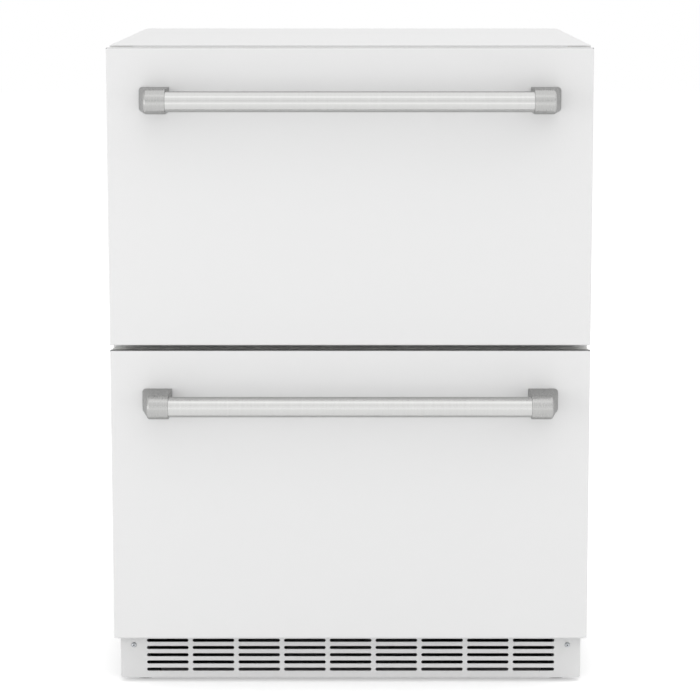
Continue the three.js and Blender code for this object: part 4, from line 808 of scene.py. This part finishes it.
def fan_rotor(name, node, body, centre, way, hub_radius, hub_depth, reach, width, pitch):
    """Five curved blades on a hub that starts at the centre and goes that way along the axis."""
    way = Vector(way)
    turn = Matrix.Translation(centre) @ way.to_track_quat("Z", "Y").to_matrix().to_4x4()
    shape = bmesh.new()
    bmesh.ops.create_cone(shape, cap_ends=True, segments=40, radius1=hub_radius, radius2=hub_radius,
                          depth=hub_depth, matrix=Matrix.Translation((0, 0, hub_depth / 2)))
    round_edges(shape, edges_at(shape, 2, hub_depth), hub_radius * hub_round, 4)
    for blade in range(5):
        made = bmesh.ops.create_grid(shape, x_segments=6, y_segments=6, size=0.5)["verts"]
        for v in made:
            out, across = v.co.x + 0.5, v.co.y
            radius = hub_radius * blade_foot + (reach - hub_radius * blade_foot) * out
            spread = width * (0.72 + 0.28 * out) * across
            tilt = math.radians(pitch) * (1.25 - 0.35 * out)
            sweep = math.radians(72 * blade) + 0.24 * out + spread * math.cos(tilt) / radius
            rise = spread * math.sin(tilt) + blade_cup * math.cos(math.pi * across)
            v.co = (radius * math.cos(sweep), radius * math.sin(sweep), hub_depth / 2 + rise)
    blades = [f for f in shape.faces if len(f.verts) == 4 and f.calc_area() < 0.0001
              and all(v.co.xy.length > hub_radius * 0.9 for v in f.verts)
              and any(v.co.xy.length > hub_radius * 1.02 for v in f.verts)]
    bmesh.ops.solidify(shape, geom=blades, thickness=blade_sheet)
    bmesh.ops.transform(shape, matrix=turn, verts=shape.verts)
    bmesh.ops.recalc_face_normals(shape, faces=shape.faces)
    finish_piece(shape, name, body, black_nylon, [node], 40)


low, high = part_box("condenser_fan_rotor")
fan_rotor("condenser_swept_rotor", "condenser_fan_rotor", "condenser_fan",
          (low.x, (low.y + high.y) / 2, (low.z + high.z) / 2), (1, 0, 0), 0.024, high.x - low.x, 0.0645,
          0.030, 32)
low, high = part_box("evaporator_fan_rotor")
fan_rotor("evaporator_swept_rotor", "evaporator_fan_rotor", "evaporator_fan",
          ((low.x + high.x) / 2, high.y, (low.z + high.z) / 2), (0, -1, 0), 0.015, high.y - low.y, 0.0405,
          0.018, 32)

# ---------------------------------------------------------------- drip tray and cord gland
# The tray under the evaporator's drain is moulded black polypropylene, and sits over the warm
# compressor, where the water dries off. The nylon gland clips into the cover: the cord is left out.
soften("drip_tray", 0.0006, black_nylon)
low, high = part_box("power_cord_gland")
shape = bmesh.new()
middle = ((low.x + high.x) / 2, (low.z + high.z) / 2)
flange, flange_round, hole_radius = (high.x - low.x) / 2, 0.001, 0.0062
gland_steps = ((flange - flange_round - hole_radius, 0), (0.0006, -0.0012), (0.0014, 0.0010),
               (0.0004, -0.0055))
bmesh.ops.create_circle(shape, cap_ends=True, segments=40, radius=flange,
                        matrix=Matrix.Translation((middle[0], low.y, middle[1])) @ upright)
grown = bmesh.ops.extrude_face_region(shape, geom=shape.faces[:])["geom"]
bmesh.ops.translate(shape, verts=verts_of(grown), vec=(0, high.y - low.y, 0))
bmesh.ops.recalc_face_normals(shape, faces=shape.faces)
round_edges(shape, edges_at(shape, 1, high.y), flange_round, 3)
for face in faces_towards(shape, 1, 1):
    for step, rise in gland_steps:
        bmesh.ops.inset_region(shape, faces=[face], thickness=step, depth=rise)
finish_piece(shape, "cord_gland_ring", "cabinet", black_nylon, ["power_cord_gland"], 40)

# ---------------------------------------------------------------- controls and lamp
# The control housing hangs under the ceiling behind the upper front: moulded white ABS, with a dark
# acrylic display window, two push buttons and a frosted lens over the lamp.
soften("control_housing", 0.001, white_abs)
dark_acrylic = make_material("dark_acrylic_window", "#0E1012", 0.08, 0.02, 0.000002, 0.06, 0.12,
                             IOR=1.49)
window_corner, window_edge, button_round = 0.002, 0.0004, 0.0009
low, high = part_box("control_display")
shape = bmesh.new()
add_block(shape, low, high)
round_edges(shape, edges_along(shape, 1), window_corner, 4)
round_edges(shape, edges_at(shape, 1, low.y), window_edge, 2)
finish_piece(shape, "display_window", "cabinet", dark_acrylic, ["control_display"])

for button in ("warmer", "colder"):
    low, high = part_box(f"button_{button}")
    radius = (high.x - low.x) / 2
    shape = bmesh.new()
    bmesh.ops.create_cone(shape, cap_ends=True, segments=36, radius1=radius, radius2=radius,
                          depth=high.y - low.y, matrix=Matrix.Translation((low + high) / 2) @ upright)
    round_edges(shape, edges_at(shape, 1, low.y), button_round, 4)
    for face in faces_towards(shape, 1, -1):
        bmesh.ops.inset_region(shape, faces=[face], thickness=0.0012)
        bmesh.ops.inset_region(shape, faces=[face], thickness=0.0016, depth=-0.0003)
    finish_piece(shape, f"push_button_{button}", f"{button}_button", white_abs,
                 [f"button_{button}"], 40)

frosted_lens = make_material("frosted_polycarbonate_lens", "#F0F3F5", 0.45, 0.0005, 0.00002, 0.4, 0.55,
                             IOR=1.58, Transmission_Weight=0.5)
low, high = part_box("lamp_lens")
shape = bmesh.new()
add_block(shape, low, high)
ribs, rib_depth = 34, 0.0009
for count in range(1, ribs):
    at = low.x + count * (high.x - low.x) / ribs
    cut_across(shape, 0, at)
    if count % 2:
        for v in (v for v in shape.verts if abs(v.co.x - at) < 1e-5 and abs(v.co.z - low.z) < 1e-5):
            v.co.z += rib_depth
finish_piece(shape, "ribbed_lamp_lens", "cabinet", frosted_lens, ["lamp_lens"], 12)
